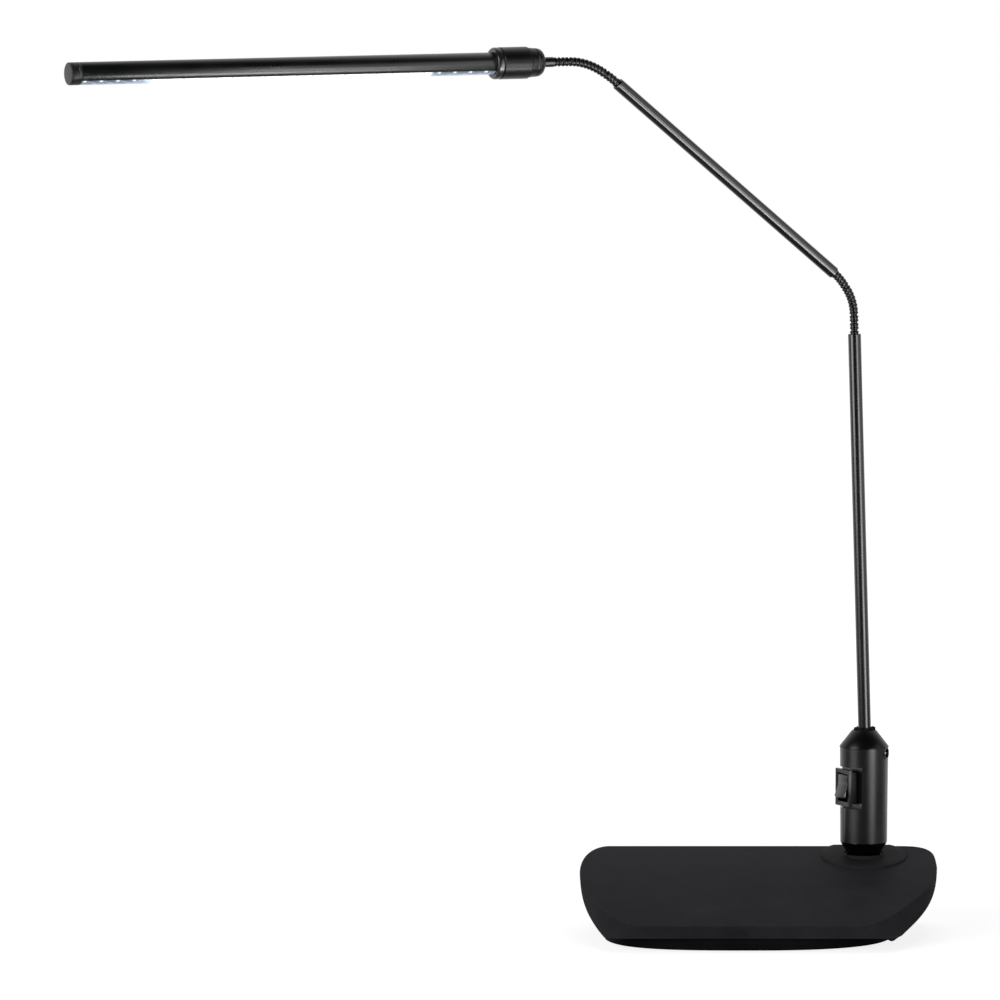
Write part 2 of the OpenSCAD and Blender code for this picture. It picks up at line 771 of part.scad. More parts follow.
// One link of a neck, its lower ball joint at the origin and its upper one at the end
module link(ribs, pitch, socket = true, ball = true, plug_r = 0, plug_up = false) {
    l = ribs * pitch;
    gap = pitch / 2 - rib_r;
    low = socket ? gap : 0;
    high = ball ? l - gap : l;
    difference() {
        rotate_extrude() intersection() {
            union() {
                translate([0, low]) square([ball_r, high - low]);
                for (i = [0:ribs - 1]) translate([neck_r - rib_r, (i + 0.5) * pitch]) circle(r = rib_r);
                if (ball) translate([0, l]) circle(r = ball_r);
                if (plug_r > 0) translate([0, plug_up ? l - EPS : -plug_l]) square([plug_r, plug_l + EPS]);
            }
            translate([0, -l - plug_l]) square([2 * neck_r, 3 * l + 2 * plug_l]);
        }
        translate([0, 0, -2 * plug_l]) cylinder(r = neck_bore_r, h = l + 4 * plug_l);
        if (socket) sphere(r = ball_r + ball_gap);
    }
}

pole_plug_r = pole_r - pole_wall - seat_fit;
arm_plug_r = arm_r - arm_wall - seat_fit;
stub_plug_r = stub_r - stub_wall - seat_fit;

module low_link(i) {
    color("#17181a") at_frame(low_frames[i]) link(low_ribs[i], low_pitch);
}

module up_link(i) {
    color("#17181a") at_frame(up_frames[i]) link(up_ribs[i], up_pitch);
}

module low_neck_root() {
    color("#17181a") at_frame(low_frames[0])
        link(low_ribs[0], low_pitch, socket = false, plug_r = pole_plug_r);
}

module low_neck_tip() {
    i = len(low_ribs) - 1;
    color("#17181a") at_frame(low_frames[i])
        link(low_ribs[i], low_pitch, ball = false, plug_r = arm_plug_r, plug_up = true);
}

module up_neck_root() {
    color("#17181a") at_frame(up_frames[0])
        link(up_ribs[0], up_pitch, socket = false, plug_r = arm_plug_r);
}

module up_neck_tip() {
    i = len(up_ribs) - 1;
    color("#17181a") at_frame(up_frames[i])
        link(up_ribs[i], up_pitch, ball = false, plug_r = stub_plug_r, plug_up = true);
}

module low_neck_1() { low_link(1); }
module low_neck_2() { low_link(2); }
module low_neck_3() { low_link(3); }
module low_neck_4() { low_link(4); }
module low_neck_5() { low_link(5); }
module low_neck_6() { low_link(6); }
module low_neck_7() { low_link(7); }
module low_neck_8() { low_link(8); }
module up_neck_1() { up_link(1); }
module up_neck_2() { up_link(2); }
module up_neck_3() { up_link(3); }
module up_neck_4() { up_link(4); }
module up_neck_5() { up_link(5); }
module up_neck_6() { up_link(6); }
module up_neck_7() { up_link(7); }
module up_neck_8() { up_link(8); }

module arm_tube() {
    color("#151515") at_frame(arm_start) ring(arm_r, arm_r - arm_wall, arm_l);
}

module neck_ferrule() {
    color("#1e1e20") at_frame(stub_start) difference() {
        union() {
            cylinder(r = stub_r, h = stub_l);
            translate([0, 0, stub_l - stub_flange_l]) cylinder(r = stub_flange_r, h = stub_flange_l);
            cylinder(r = stub_r - 0.2, h = stub_l + rear_cap_l - cap_cavity_l);
        }
        translate([0, 0, -EPS]) cylinder(r = stub_r - stub_wall, h = plug_l - 1 + EPS + seat_fit + 1);
        cylinder(r = head_bore_r, h = stub_l + rear_cap_l);
    }
}

module rear_cap() {
    a = cap_z;
    color("#202022") at_frame(stub_start) difference() {
        rotate_extrude() polygon(concat(
            [[stub_r, a], [stub_flange_r + 1.2, a]],
            [for (t = [20:10:80]) [stub_flange_r + 1.2 + (collar_r - 5.6) * sin(t),
                a + 4.6 * (1 - cos(t))]],
            [[collar_r - 1, a + 4.8], [collar_r - 1, a + 5.2], [collar_r - 1.3, a + 5.4],
            [collar_r - 1.3, a + 5.8], [collar_r - 0.9, a + 6], [collar_r - 0.65, sleeve_z],
            [stub_r, sleeve_z]]));
        translate([0, 0, a - EPS]) cylinder(r = stub_r - 0.2 + 0.02, h = rear_cap_l);
        translate([0, 0, sleeve_z - cap_cavity_l]) cylinder(r = cap_cavity_r, h = cap_cavity_l + 1);
    }
}

module collar_sleeve() {
    color("#202022") at_frame(stub_start) difference() {
        rotate_extrude() polygon([[0, sleeve_z], [collar_r - 0.4, sleeve_z],
            [collar_r, sleeve_z + 0.4], [collar_r, sleeve_z + sleeve_l - 0.3],
            [collar_r - 0.3, sleeve_z + sleeve_l], [0, sleeve_z + sleeve_l]]);
        cylinder(r = head_spindle_r + turn_fit, h = 100);
        translate([0, 0, sleeve_z + sleeve_back]) cylinder(r = sleeve_bore_r, h = sleeve_l);
    }
}

module friction_bush() {
    color("#dcd8cc") at_frame(stub_start) translate([0, 0, tube_z])
        ring(sleeve_bore_r - seat_fit / 2, lamp_r + turn_fit, sleeve_z + sleeve_l - tube_z - 0.4);
}

module wave_washer() {
    color("#b8b8b8") at_frame(stub_start) translate([0, 0, sleeve_z + sleeve_back])
        ring(lamp_r - 0.4, head_spindle_r + turn_fit, wave_t);
}

module front_ring() {
    color("#2c2c2e") at_frame(stub_start) difference() {
        rotate_extrude() polygon([[0, ring_start], [collar_r - 0.4, ring_start],
            [collar_r - 0.1, ring_start + 0.3], [collar_r - 0.1, ring_end - 0.8],
            [collar_r - 0.9, ring_end], [0, ring_end]]);
        cylinder(r = lamp_r + 0.02, h = 100);
    }
}

module tube_plug() {
    color("#c8c4b8") at_frame(stub_start) difference() {
        union() {
            translate([0, 0, clip_z - 1.4]) cylinder(r = head_spindle_r, h = tube_z - clip_z + 1.4);
            translate([0, 0, tube_z - plug_flange]) cylinder(r = lamp_r - 0.1, h = plug_flange);
            intersection() {
                translate([0, 0, tube_z - EPS]) cylinder(r = lamp_bore_r - seat_fit, h = plug_in);
                translate([-20 - web_t + web_x - seat_fit, -10, 0]) cube([20, 20, 100]);
            }
        }
        translate([0, 0, -1]) cylinder(r = head_bore_r, h = 100);
        translate([0, 0, clip_z - 0.02]) ring(10, head_spindle_r - 0.6, clip_t + 0.04);
    }
}

module spindle_clip() {
    color("#b0b0b0") at_frame(stub_start) translate([0, 0, clip_z]) difference() {
        ring(head_spindle_r + 1.6, head_spindle_r - 0.58, clip_t);
        translate([0, -1.2, -1]) cube([10, 2.4, 4]);
    }
}

// Flat sector about +X that takes out all within half degrees of it
module sector(half, r, z1, z2) {
    translate([0, 0, z1]) linear_extrude(z2 - z1)
        polygon([[0, 0], [r, -r * tan(half)], [2 * r, 0], [r, r * tan(half)]]);
}

module lamp_tube() {
    color("#1b1c1f") at_frame(stub_start) difference() {
        translate([0, 0, tube_z]) union() {
            ring(lamp_r, lamp_bore_r, lamp_end - tube_z);
            intersection() {
                cylinder(r = lamp_bore_r + 0.2, h = lamp_end - tube_z);
                translate([web_x - web_t, -10, 0]) cube([web_t, 20, lamp_end - tube_z]);
            }
        }
        sector(lens_half, 12, ring_end, lamp_end + 1);
        // The web stops short of the plug
        translate([web_x - web_t - EPS, -lamp_bore_r + 0.3, tube_z - 1])
            cube([web_t + 2 * EPS, 2 * lamp_bore_r - 0.6, plug_in + 2]);
    }
}

module led_board() {
    color("#e8e8e4") at_frame(stub_start)
        translate([web_x + 0.02, -board_half_w, ring_end + 0.5])
            cube([board_t, 2 * board_half_w, lamp_l - 1]);
}

module leds() {
    color("#f4efc0") at_frame(stub_start)
        for (s = [led_last:-led_pitch:led_first])
            translate([web_x + board_t + 0.02, -led_size[1] / 2, s - led_size[2] / 2]) cube(led_size);
}

module lens() {
    color("#dfe6ea") at_frame(stub_start) intersection() {
        translate([0, 0, ring_end + 0.1]) ring(lamp_r, lamp_r - lens_t, lamp_l - 0.2);
        sector(lens_half - lens_angle_gap, 12, ring_end, lamp_end);
    }
}

module end_cap() {
    color("#3a3a3d") at_frame(stub_start) difference() {
        union() {
            rotate_extrude() polygon([[0, lamp_end + 0.05], [lamp_r, lamp_end + 0.05],
                [lamp_r, lamp_end + 1.6], [lamp_r - 0.25, lamp_end + 1.8],
                [lamp_r - 0.25, lamp_end + 2.2], [lamp_r, lamp_end + 2.4],
                [lamp_r, lamp_end + end_cap_l - 0.5], [lamp_r - 0.5, lamp_end + end_cap_l],
                [0, lamp_end + end_cap_l]]);
            intersection() {
                translate([0, 0, lamp_end - 4]) cylinder(r = lamp_bore_r - seat_fit, h = 4.1);
                translate([-20 - web_t + web_x - seat_fit, -10, 0]) cube([20, 20, 1000]);
            }
        }
    }
}

base_shell();
base_tray();
ballast_weight();
ballast_screws();
base_screws();
rubber_feet();
swivel_bush();
friction_washer();
swivel_spindle();
spindle_nut();
lower_cone();
stem_housing();
upper_cone();
pole_gland();
pole_nut();
pole();
switch_frame();
switch_body();
switch_terminals();
power_inlet();
inlet_pin();
driver_board();
driver_parts();
rocker();
low_neck_root();
low_neck_1();
low_neck_2();
low_neck_3();
low_neck_4();
low_neck_5();
low_neck_6();
low_neck_7();
low_neck_8();
low_neck_tip();
arm_tube();
up_neck_root();
up_neck_1();
up_neck_2();
up_neck_3();
up_neck_4();
up_neck_5();
up_neck_6();
up_neck_7();
up_neck_8();
up_neck_tip();
neck_ferrule();
rear_cap();
collar_sleeve();
friction_bush();
wave_washer();
front_ring();
tube_plug();
spindle_clip();
lamp_tube();
led_board();
leds();
lens();
end_cap();
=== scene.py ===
import json
import math

import bmesh
import bpy
from mathutils import Matrix, Vector


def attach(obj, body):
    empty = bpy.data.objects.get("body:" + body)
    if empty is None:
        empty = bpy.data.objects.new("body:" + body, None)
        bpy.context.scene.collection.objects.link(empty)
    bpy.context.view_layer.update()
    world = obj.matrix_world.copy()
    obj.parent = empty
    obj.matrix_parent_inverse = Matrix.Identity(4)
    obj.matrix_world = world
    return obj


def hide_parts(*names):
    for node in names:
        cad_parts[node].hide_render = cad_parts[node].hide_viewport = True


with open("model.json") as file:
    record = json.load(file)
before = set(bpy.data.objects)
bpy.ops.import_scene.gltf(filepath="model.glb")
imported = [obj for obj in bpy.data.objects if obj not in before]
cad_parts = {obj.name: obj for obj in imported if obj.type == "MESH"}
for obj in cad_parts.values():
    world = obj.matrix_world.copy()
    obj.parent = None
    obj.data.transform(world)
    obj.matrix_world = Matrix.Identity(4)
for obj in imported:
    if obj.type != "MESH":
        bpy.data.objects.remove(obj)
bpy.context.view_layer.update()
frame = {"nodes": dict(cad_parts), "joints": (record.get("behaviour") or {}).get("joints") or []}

# Photo studio: a long lens a good three metres away, at the height of the lamp's head, a pale floor
# that keeps a soft shadow, softboxes left, right and above, a strip for the thin second highlight
# and two low lamps for the head's underside. The front is dim, so black that faces it stays black.
MM = 0.001
CAMERA_AT = Vector((-156.14, -3577.35, 544.5)) * MM
CAMERA_PITCH_DOWN = 4.5
LENS, SENSOR, SIGHT_END = 216, 36, 20
# Light of the room at its front and at its back, seen in what is neither clear nor a mirror
ROOM_LIGHT = {"front": 0.02, "back": 0.5}
LAMPS_AIM = Vector((-0.15, -0.05, 0.45))


def linear(hex_colour):
    """An sRGB hex colour as linear RGBA."""
    parts = [int(hex_colour[i:i + 2], 16) / 255 for i in (1, 3, 5)]
    return tuple(p / 12.92 if p <= 0.04045 else ((p + 0.055) / 1.055) ** 2.4 for p in parts) + (1,)


def add_node(tree, kind, values=(), links=(), **settings):
    """Adds a node to a material, with its settings, input values and links."""
    new = tree.nodes.new("ShaderNode" + kind)
    for key, value in settings.items():
        setattr(new, key, value)
    for key, value in dict(values).items():
        new.inputs[key].default_value = value
    for key, source in dict(links).items():
        tree.links.new(source, new.inputs[key])
    return new


def new_finish(name):
    """A material with an empty node tree."""
    finish = bpy.data.materials.new(name)
    finish.use_nodes = True
    finish.node_tree.nodes.clear()
    return finish, finish.node_tree


def whitened(tree, behind):
    """Where a white backdrop shows: to the camera, through clear pieces, and mirrored from behind."""
    rays = add_node(tree, "LightPath")
    mirrored_back = add_node(tree, "Math", links={
        0: rays.outputs["Is Glossy Ray"], 1: behind.outputs[0]}, operation="MULTIPLY")
    looked_at = add_node(tree, "Math", links={
        0: rays.outputs["Is Camera Ray"], 1: rays.outputs["Is Transmission Ray"]}, operation="MAXIMUM")
    return add_node(tree, "Math", links={
        0: looked_at.outputs[0], 1: mirrored_back.outputs[0]}, operation="MAXIMUM")


scene = bpy.context.scene
scene.view_settings.view_transform = "Standard"
bpy.ops.object.camera_add(location=CAMERA_AT, rotation=(math.radians(90 - CAMERA_PITCH_DOWN), 0, 0))
scene.camera = bpy.context.object
scene.camera.data.lens = LENS
scene.camera.data.sensor_width = SENSOR
scene.camera.data.clip_end = SIGHT_END

room = bpy.data.worlds.new("studio_room")
scene.world = room
room.use_nodes = True
tree = room.node_tree
tree.nodes.clear()
direction = add_node(tree, "TexCoord")
across_room = add_node(tree, "SeparateXYZ", links={0: direction.outputs["Generated"]})
depth_share = add_node(tree, "MapRange", {
    "From Min": -0.2, "From Max": 0.7, "To Min": ROOM_LIGHT["front"], "To Max": ROOM_LIGHT["back"]},
    {"Value": across_room.outputs["Y"]})
behind = add_node(tree, "MapRange", {"From Min": 0.1, "From Max": 0.6}, {"Value": across_room.outputs["Y"]})
room_level = add_node(tree, "Mix", {"B": 1.0}, {
    "Factor": whitened(tree, behind).outputs[0], "A": depth_share.outputs[0]})
room_light = add_node(tree, "Background", {"Color": (1, 1, 1, 1)}, {"Strength": room_level.outputs[0]})
add_node(tree, "OutputWorld", links={"Surface": room_light.outputs[0]})

# Each lamp: its place and size in metres, its power in watts, its spread, and whether it mirrors
for name, place, size, power, spread, mirrored in (
        ("softbox_left", (-1.5, -1.05, 0.7), (1.2, 1.4), 34, 180, True),
        ("softbox_right", (1.9, -0.6, 0.7), (1.2, 1.4), 7, 180, True),
        ("softbox_above", (0.1, 0.6, 2.0), (1.4, 1.0), 13, 180, False),
        ("strip_right", (1.44, -1.68, 0.6), (0.09, 1.4), 4.5, 180, True),
        ("softbox_low", (0.76, -0.85, 0.12), (0.6, 0.5), 4.5, 180, True),
        ("reflector_low", (0.2, -0.48, 0.03), (0.62, 0.25), 1.1, 75, True)):
    bpy.ops.object.light_add(type="AREA", location=place)
    softbox = bpy.context.object
    softbox.name = name
    softbox.data.shape = "RECTANGLE"
    softbox.data.size, softbox.data.size_y = size
    softbox.data.energy = power
    softbox.data.spread = math.radians(spread)
    softbox.visible_camera, softbox.visible_glossy = False, mirrored
    softbox.rotation_euler = (LAMPS_AIM - Vector(place)).to_track_quat("-Z", "Y").to_euler()

bpy.ops.mesh.primitive_plane_add(size=12, location=(0, 0, 0))
floor = bpy.context.object
floor.name = "studio_floor"
floor_finish, tree = new_finish("pale_paper_floor")
# White paper sweep: the camera sees it lit to white, and the object's shadow stays on it. Gloss
# mirrors it only behind the lamp, and its glow is a little lower near the lamp, for the shadow.
PAPER_TONES, GLOW_NEAR, GLOW_RANGE = (0.23, 0.26), 0.84, (0.3, 1.3)
paper_fibre = add_node(tree, "TexNoise", {"Scale": 900.0, "Detail": 3.0})
paper_tone = add_node(tree, "MapRange", {"To Min": PAPER_TONES[0], "To Max": PAPER_TONES[1]},
                      {"Value": paper_fibre.outputs["Fac"]})
paper = add_node(tree, "BsdfDiffuse", links={"Color": paper_tone.outputs[0]})
paper_place = add_node(tree, "TexCoord")
paper_reach = add_node(tree, "VectorMath", links={0: paper_place.outputs["Object"]}, operation="LENGTH")
paper_white = add_node(tree, "MapRange", {
    "From Min": GLOW_RANGE[0], "From Max": GLOW_RANGE[1], "To Min": GLOW_NEAR, "To Max": 1.0},
    {"Value": paper_reach.outputs["Value"]}, interpolation_type="SMOOTHSTEP")
paper_depth = add_node(tree, "SeparateXYZ", links={0: paper_place.outputs["Object"]})
paper_behind = add_node(tree, "MapRange", {"From Min": -0.1, "From Max": 0.6},
                        {"Value": paper_depth.outputs["Y"]}, interpolation_type="SMOOTHSTEP")
paper_glow_level = add_node(tree, "Math", links={
    0: whitened(tree, paper_behind).outputs[0], 1: paper_white.outputs[0]}, operation="MULTIPLY")
paper_glow = add_node(tree, "Emission", links={"Strength": paper_glow_level.outputs[0]})
paper_sum = add_node(tree, "AddShader", links={0: paper.outputs[0], 1: paper_glow.outputs[0]})
add_node(tree, "OutputMaterial", links={"Surface": paper_sum.outputs[0]})
floor.data.materials.append(floor_finish)


# Tray: the lower tier of the base, a flat injection moulding in black ABS that closes the base
# moulding from below. It is screwed up into the moulding's bosses, and a narrow dark groove
# parts the two.
FOOT_OUT = 0.6
RIM_Z = 8.0
TRAY_TOP = 7.5
TRAY_MIDDLE_X = -7.0
TRAY_REACH = {"left": 87.0, "right": 86.0, "front": 63.2, "back": 51.4}
TRAY_ROUNDNESS = {"left": 3.1, "right": 2.4}


def start_rings(name, points, levels):
    """A tube of unit rings, one above the other, that place_rings then gives its shape."""
    bpy.ops.object.select_all(action="DESELECT")
    bpy.ops.mesh.primitive_circle_add(vertices=points, radius=1, location=(0, 0, 0))
    piece = bpy.context.object
    piece.name = piece.data.name = name
    bpy.ops.object.mode_set(mode="EDIT")
    bpy.ops.mesh.select_all(action="SELECT")
    for _ in range(levels - 1):
        bpy.ops.mesh.extrude_region_move(TRANSFORM_OT_translate={"value": (0, 0, 1)})
    bpy.ops.object.mode_set(mode="OBJECT")
    return piece


def place_rings(piece, points, rings):
    """Gives each unit ring its own outline: rings[level][i] is a point in mm."""
    for corner in piece.data.vertices:
        i = round(math.atan2(corner.co.y, corner.co.x) / (2 * math.pi) * points) % points
        corner.co = Vector(rings[round(corner.co.z)][i]) * MM


def take_up(piece):
    """Selects one piece alone, for the operators that follow."""
    bpy.ops.object.select_all(action="DESELECT")
    piece.select_set(True)
    bpy.context.view_layer.objects.active = piece


def weld(piece, fill=False):
    """Merges doubled points, closes open ends if asked and turns the faces outwards."""
    take_up(piece)
    bpy.ops.object.mode_set(mode="EDIT")
    bpy.ops.mesh.select_all(action="SELECT")
    bpy.ops.mesh.remove_doubles(threshold=1e-6)
    if fill:
        bpy.ops.mesh.fill_holes(sides=0)
    bpy.ops.mesh.select_all(action="SELECT")
    bpy.ops.mesh.normals_make_consistent(inside=False)
    bpy.ops.object.mode_set(mode="OBJECT")
    return piece


def apply_modifier(piece, kind, **settings):
    """Adds a modifier and applies it at once."""
    take_up(piece)
    bpy.ops.object.modifier_add(type=kind)
    added = piece.modifiers[-1]
    for key, value in settings.items():
        setattr(added, key, value)
    bpy.ops.object.modifier_apply(modifier=added.name)


def assemble(piece, body, slot, finish, *nodes, smooth=35):
    """Shades a finished piece, paints it and sets it on its body in place of its CAD nodes."""
    take_up(piece)
    bpy.ops.object.shade_smooth_by_angle(angle=math.radians(smooth))
    piece.data.materials.clear()
    piece.data.materials.append(finish)
    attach(piece, body)
    if nodes:
        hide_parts(*nodes)
    return piece


def paint(finish, *names):
    """Gives CAD nodes that stay in sight their finish."""
    for name in names:
        frame["nodes"][name].data.materials.clear()
        frame["nodes"][name].data.materials.append(finish)


def oval(points, inset):
    """The tray's outline, from the right and against the clock, in mm."""
    outline = []
    for i in range(points):
        turn = 2 * math.pi * i / points
        side = "right" if math.cos(turn) > 0 else "left"
        end = "back" if math.sin(turn) > 0 else "front"
        power = 2 / TRAY_ROUNDNESS[side]
        reach_x = (TRAY_REACH[side] - inset) * abs(math.cos(turn)) ** power
        reach_y = (TRAY_REACH[end] - inset) * abs(math.sin(turn)) ** power
        outline.append((TRAY_MIDDLE_X + math.copysign(reach_x, math.cos(turn)),
                        math.copysign(reach_y, math.sin(turn))))
    return outline


TRAY_POINTS = 240
# Height of each ring and how far it stands in from the outline: the lower edge is rounded
TRAY_RINGS = ((FOOT_OUT, 3.0), (FOOT_OUT, 1.2), (FOOT_OUT + 0.35, 0.3), (FOOT_OUT + 1.2, 0.0),
              (TRAY_TOP, 0.0), (TRAY_TOP, 3.2))
tray = start_rings("tray_tier", TRAY_POINTS, len(TRAY_RINGS))
place_rings(tray, TRAY_POINTS, [[(x, y, height) for x, y in oval(TRAY_POINTS, inset)]
                                for height, inset in TRAY_RINGS])
weld(tray, fill=True)


CLOUD_SCALE = 38.0  # soft clouds of about 26 mm, as handling and uneven curing leave


def opaque_finish(name, dark, light, rough, grain, depth, metallic=0.0, coat=0.0,
                  stretch=(1, 1, 1), shine=0.5):
    """An opaque finish: two near tones and a roughness band, parted by a grain of a real size.

    grain is the size of one grain in mm, depth the height of its relief in mm, and stretch draws
    the grain out along an axis, as turning, drawing or brushing does. shine is the specular level.
    """
    finish, tree = new_finish(name)
    place = add_node(tree, "TexCoord")
    drawn = add_node(tree, "Mapping", {"Scale": stretch}, {"Vector": place.outputs["Object"]})
    fine = add_node(tree, "TexNoise", {"Scale": 1000 / grain, "Detail": 4.0, "Roughness": 0.6},
                    {"Vector": drawn.outputs[0]})
    broad = add_node(tree, "TexNoise", {"Scale": CLOUD_SCALE, "Detail": 3.0},
                     {"Vector": place.outputs["Object"]})
    tone_share = add_node(tree, "Math", {1: 0.5}, {0: fine.outputs["Fac"], 2: broad.outputs["Fac"]},
                          operation="MULTIPLY_ADD")
    tone_level = add_node(tree, "MapRange", {"From Min": 0.5, "From Max": 1.0},
                          {"Value": tone_share.outputs[0]})
    tone = add_node(tree, "Mix", {6: linear(dark), 7: linear(light)},
                    {0: tone_level.outputs[0]}, data_type="RGBA")
    sheen_level = add_node(tree, "MapRange", {"From Min": 0.35, "From Max": 0.65,
                           "To Min": rough[0], "To Max": rough[1]}, {"Value": broad.outputs["Fac"]})
    relief = add_node(tree, "Bump", {"Strength": 1.0, "Distance": depth * MM},
                      {"Height": fine.outputs["Fac"]})
    surface = add_node(tree, "BsdfPrincipled", {"Metallic": metallic, "Coat Weight": coat,
                       "Coat Roughness": 0.06, "Specular IOR Level": shine}, {"Base Color": tone.outputs[2],
                       "Roughness": sheen_level.outputs[0], "Normal": relief.outputs[0]})
    add_node(tree, "OutputMaterial", links={"Surface": surface.outputs[0]})
    return finish


# Matt moulded ABS: an even, fine-grained black that scatters light. Its colour is darker than the
# moulding's above as painted shade, for the shade under the skirt.
tray_abs_painted_shade = opaque_finish("moulded_abs_black_painted_shade", "#0d0d0e", "#141415", (0.5, 0.6), 0.7, 0.012, shine=0.04)
assemble(tray, "base", "tray_plastic", tray_abs_painted_shade, "base_tray")


# Base moulding: the wedge-shaped upper tier, injection moulded in black ABS with a fine
# spark-eroded grain. Its wall swells from a narrow rim to a wide edge, and its top is a shallow
# crown that falls to the front. It carries the swivel and a thin raised disc round the stem.
STEM_AT = (65.0, 44.15)
CROWN = {"radius": 680.0, "height": 33.7, "slope": 13.25}
CROWN_Y = CROWN["radius"] * math.sin(math.radians(CROWN["slope"]))
CROWN_Z = CROWN["height"] - CROWN["radius"] * math.cos(math.radians(CROWN["slope"]))
FORM_TOP_Z = 50.5
HALF_DEPTH = 64.35
TOP_HALF_WIDTH = 108.2
SHELL_WALL = 2.6
# Reach of the rim, then of the widest outline, on each side
REACH_LEFT, REACH_RIGHT, REACH_BACK = (94.6, 108.2), (85.5, 108.2), (52.25, 64.35)
# Corners: size at the rim, size at the top, roundness (2 is an ellipse)
CORNERS = {"back_right": ((22.5, 34.0), (22.5, 34.0), 3.2), "back_left": ((19.4, 56.0), (19.4, 56.0), 2.0),
           "front_left": ((13.6, 6.0), (48.6, 65.0), 1.8), "front_right": ((11.3, 37.7), (75.0, 87.0), 1.8)}
CORNER_POINTS, LONG_POINTS, SHORT_POINTS = 40, 22, 4
SHELL_POINTS = 4 * CORNER_POINTS + 2 * LONG_POINTS + 2 * SHORT_POINTS
WALL_LEVELS, FINE_STEPS = 22, 400
# How fast the reach, the corners and the spacing of the wall's rings grow from the rim up
REACH_SWELL, CORNER_SWELL, RING_SPACING = 4.5, 3.7, 1.8
SEAT_R, SEAT_FLAT_Z = 13.5, 41.9
TOP_SHRINK = (0.992, 0.975, 0.955, 0.93, 0.905, 0.88, 0.855, 0.83, 0.8, 0.77, 0.74, 0.71, 0.68, 0.64, 0.6,
              0.55, 0.5, 0.44, 0.37, 0.3, 0.22, 0.14, 0.07)


def crown_at(y, above=0.0):
    """Height of the crowned top over a depth, in mm."""
    return CROWN_Z + math.sqrt((CROWN["radius"] + above) ** 2 - (y - CROWN_Y) ** 2)


def swell(span, level, power):
    """Grows from the first to the second of a span, fast at first."""
    return span[0] + (span[1] - span[0]) * (1 - (1 - level) ** power)


def shell_outline(level):
    """Outline of the moulding at a level from 0 (rim) to 1 (above its back edge), in mm."""
    left, right = swell(REACH_LEFT, level, REACH_SWELL), swell(REACH_RIGHT, level, REACH_SWELL)
    back, front = swell(REACH_BACK, level, REACH_SWELL), HALF_DEPTH - 2 * level
    arcs = {}
    for turn, (corner, (rim, top, roundness)) in enumerate(CORNERS.items()):
        size = [swell((rim[k], top[k]), level, CORNER_SWELL) for k in (0, 1)]
        middle = {"back_right": (right - size[0], back - size[1]),
                  "back_left": (size[0] - left, back - size[1]),
                  "front_left": (size[0] - left, size[1] - front),
                  "front_right": (right - size[0], size[1] - front)}[corner]
        arc = []
        for i in range(CORNER_POINTS):
            t = i / (CORNER_POINTS - 1)
            angle = math.pi / 2 * (t if turn % 2 == 0 else 1 - t)
            u = size[0] * max(math.cos(angle), 0) ** (2 / roundness)
            v = size[1] * max(math.sin(angle), 0) ** (2 / roundness)
            arc.append((middle[0] + (u if turn in (0, 3) else -u), middle[1] + (v if turn < 2 else -v)))
        arcs[corner] = arc
    outline = []
    order = list(arcs)
    for turn, corner in enumerate(order):
        outline += arcs[corner]
        a, b = arcs[corner][-1], arcs[order[(turn + 1) % 4]][0]
        count = LONG_POINTS if turn % 2 == 0 else SHORT_POINTS
        outline += [(a[0] + (b[0] - a[0]) * k / (count + 1), a[1] + (b[1] - a[1]) * k / (count + 1))
                    for k in range(1, count + 1)]
    return outline


def level_height(level):
    """Height of a level of the moulding's wall, in mm."""
    return RIM_Z + level * (FORM_TOP_Z - RIM_Z)


# Level at which each line of the wall meets the crowned top
fine_levels = [k / FINE_STEPS for k in range(FINE_STEPS + 1)]
fine_outlines = [shell_outline(level) for level in fine_levels]
edge_level = []
for i in range(SHELL_POINTS):
    k = next(k for k in range(1, FINE_STEPS + 1)
             if level_height(fine_levels[k]) > crown_at(fine_outlines[k][i][1]))
    below = crown_at(fine_outlines[k - 1][i][1]) - level_height(fine_levels[k - 1])
    above = level_height(fine_levels[k]) - crown_at(fine_outlines[k][i][1])
    edge_level.append(fine_levels[k - 1] + (fine_levels[k] - fine_levels[k - 1]) * below / (below + above))


def point_at(i, level):
    """A point of the moulding's wall, between the fine outlines."""
    k = min(int(level * FINE_STEPS), FINE_STEPS - 1)
    share = level * FINE_STEPS - k
    a, b = fine_outlines[k][i], fine_outlines[k + 1][i]
    return (a[0] + (b[0] - a[0]) * share, a[1] + (b[1] - a[1]) * share, level_height(level))


shell = start_rings("base_moulding", SHELL_POINTS, WALL_LEVELS + len(TOP_SHRINK))
shell_rings = [[point_at(i, edge_level[i] * (k / (WALL_LEVELS - 1)) ** RING_SPACING)
                for i in range(SHELL_POINTS)] for k in range(WALL_LEVELS)]
for share in TOP_SHRINK:
    ring = []
    for x, y, _ in shell_rings[WALL_LEVELS - 1]:
        x, y = x * share, y * share
        near_stem = math.hypot(x - STEM_AT[0], y - STEM_AT[1]) < SEAT_R
        ring.append((x, y, min(crown_at(y), SEAT_FLAT_Z) if near_stem else crown_at(y)))
    shell_rings.append(ring)
place_rings(shell, SHELL_POINTS, shell_rings)
take_up(shell)
bpy.ops.object.mode_set(mode="EDIT")
bpy.ops.mesh.select_all(action="DESELECT")
mesh = bmesh.from_edit_mesh(shell.data)
middle_share = TOP_SHRINK[-1] + 0.005
for corner in mesh.verts:
    corner.select_set(abs(corner.co.x) < middle_share * TOP_HALF_WIDTH * MM
                      and abs(corner.co.y) < middle_share * HALF_DEPTH * MM)
bmesh.update_edit_mesh(shell.data)
bpy.ops.mesh.edge_face_add()
bpy.ops.object.mode_set(mode="OBJECT")
weld(shell)
apply_modifier(shell, "SOLIDIFY", thickness=SHELL_WALL * 0.8 * MM, offset=-1)
apply_modifier(shell, "BEVEL", width=0.9 * MM, segments=4, limit_method="ANGLE",
               angle_limit=math.radians(38), harden_normals=False)

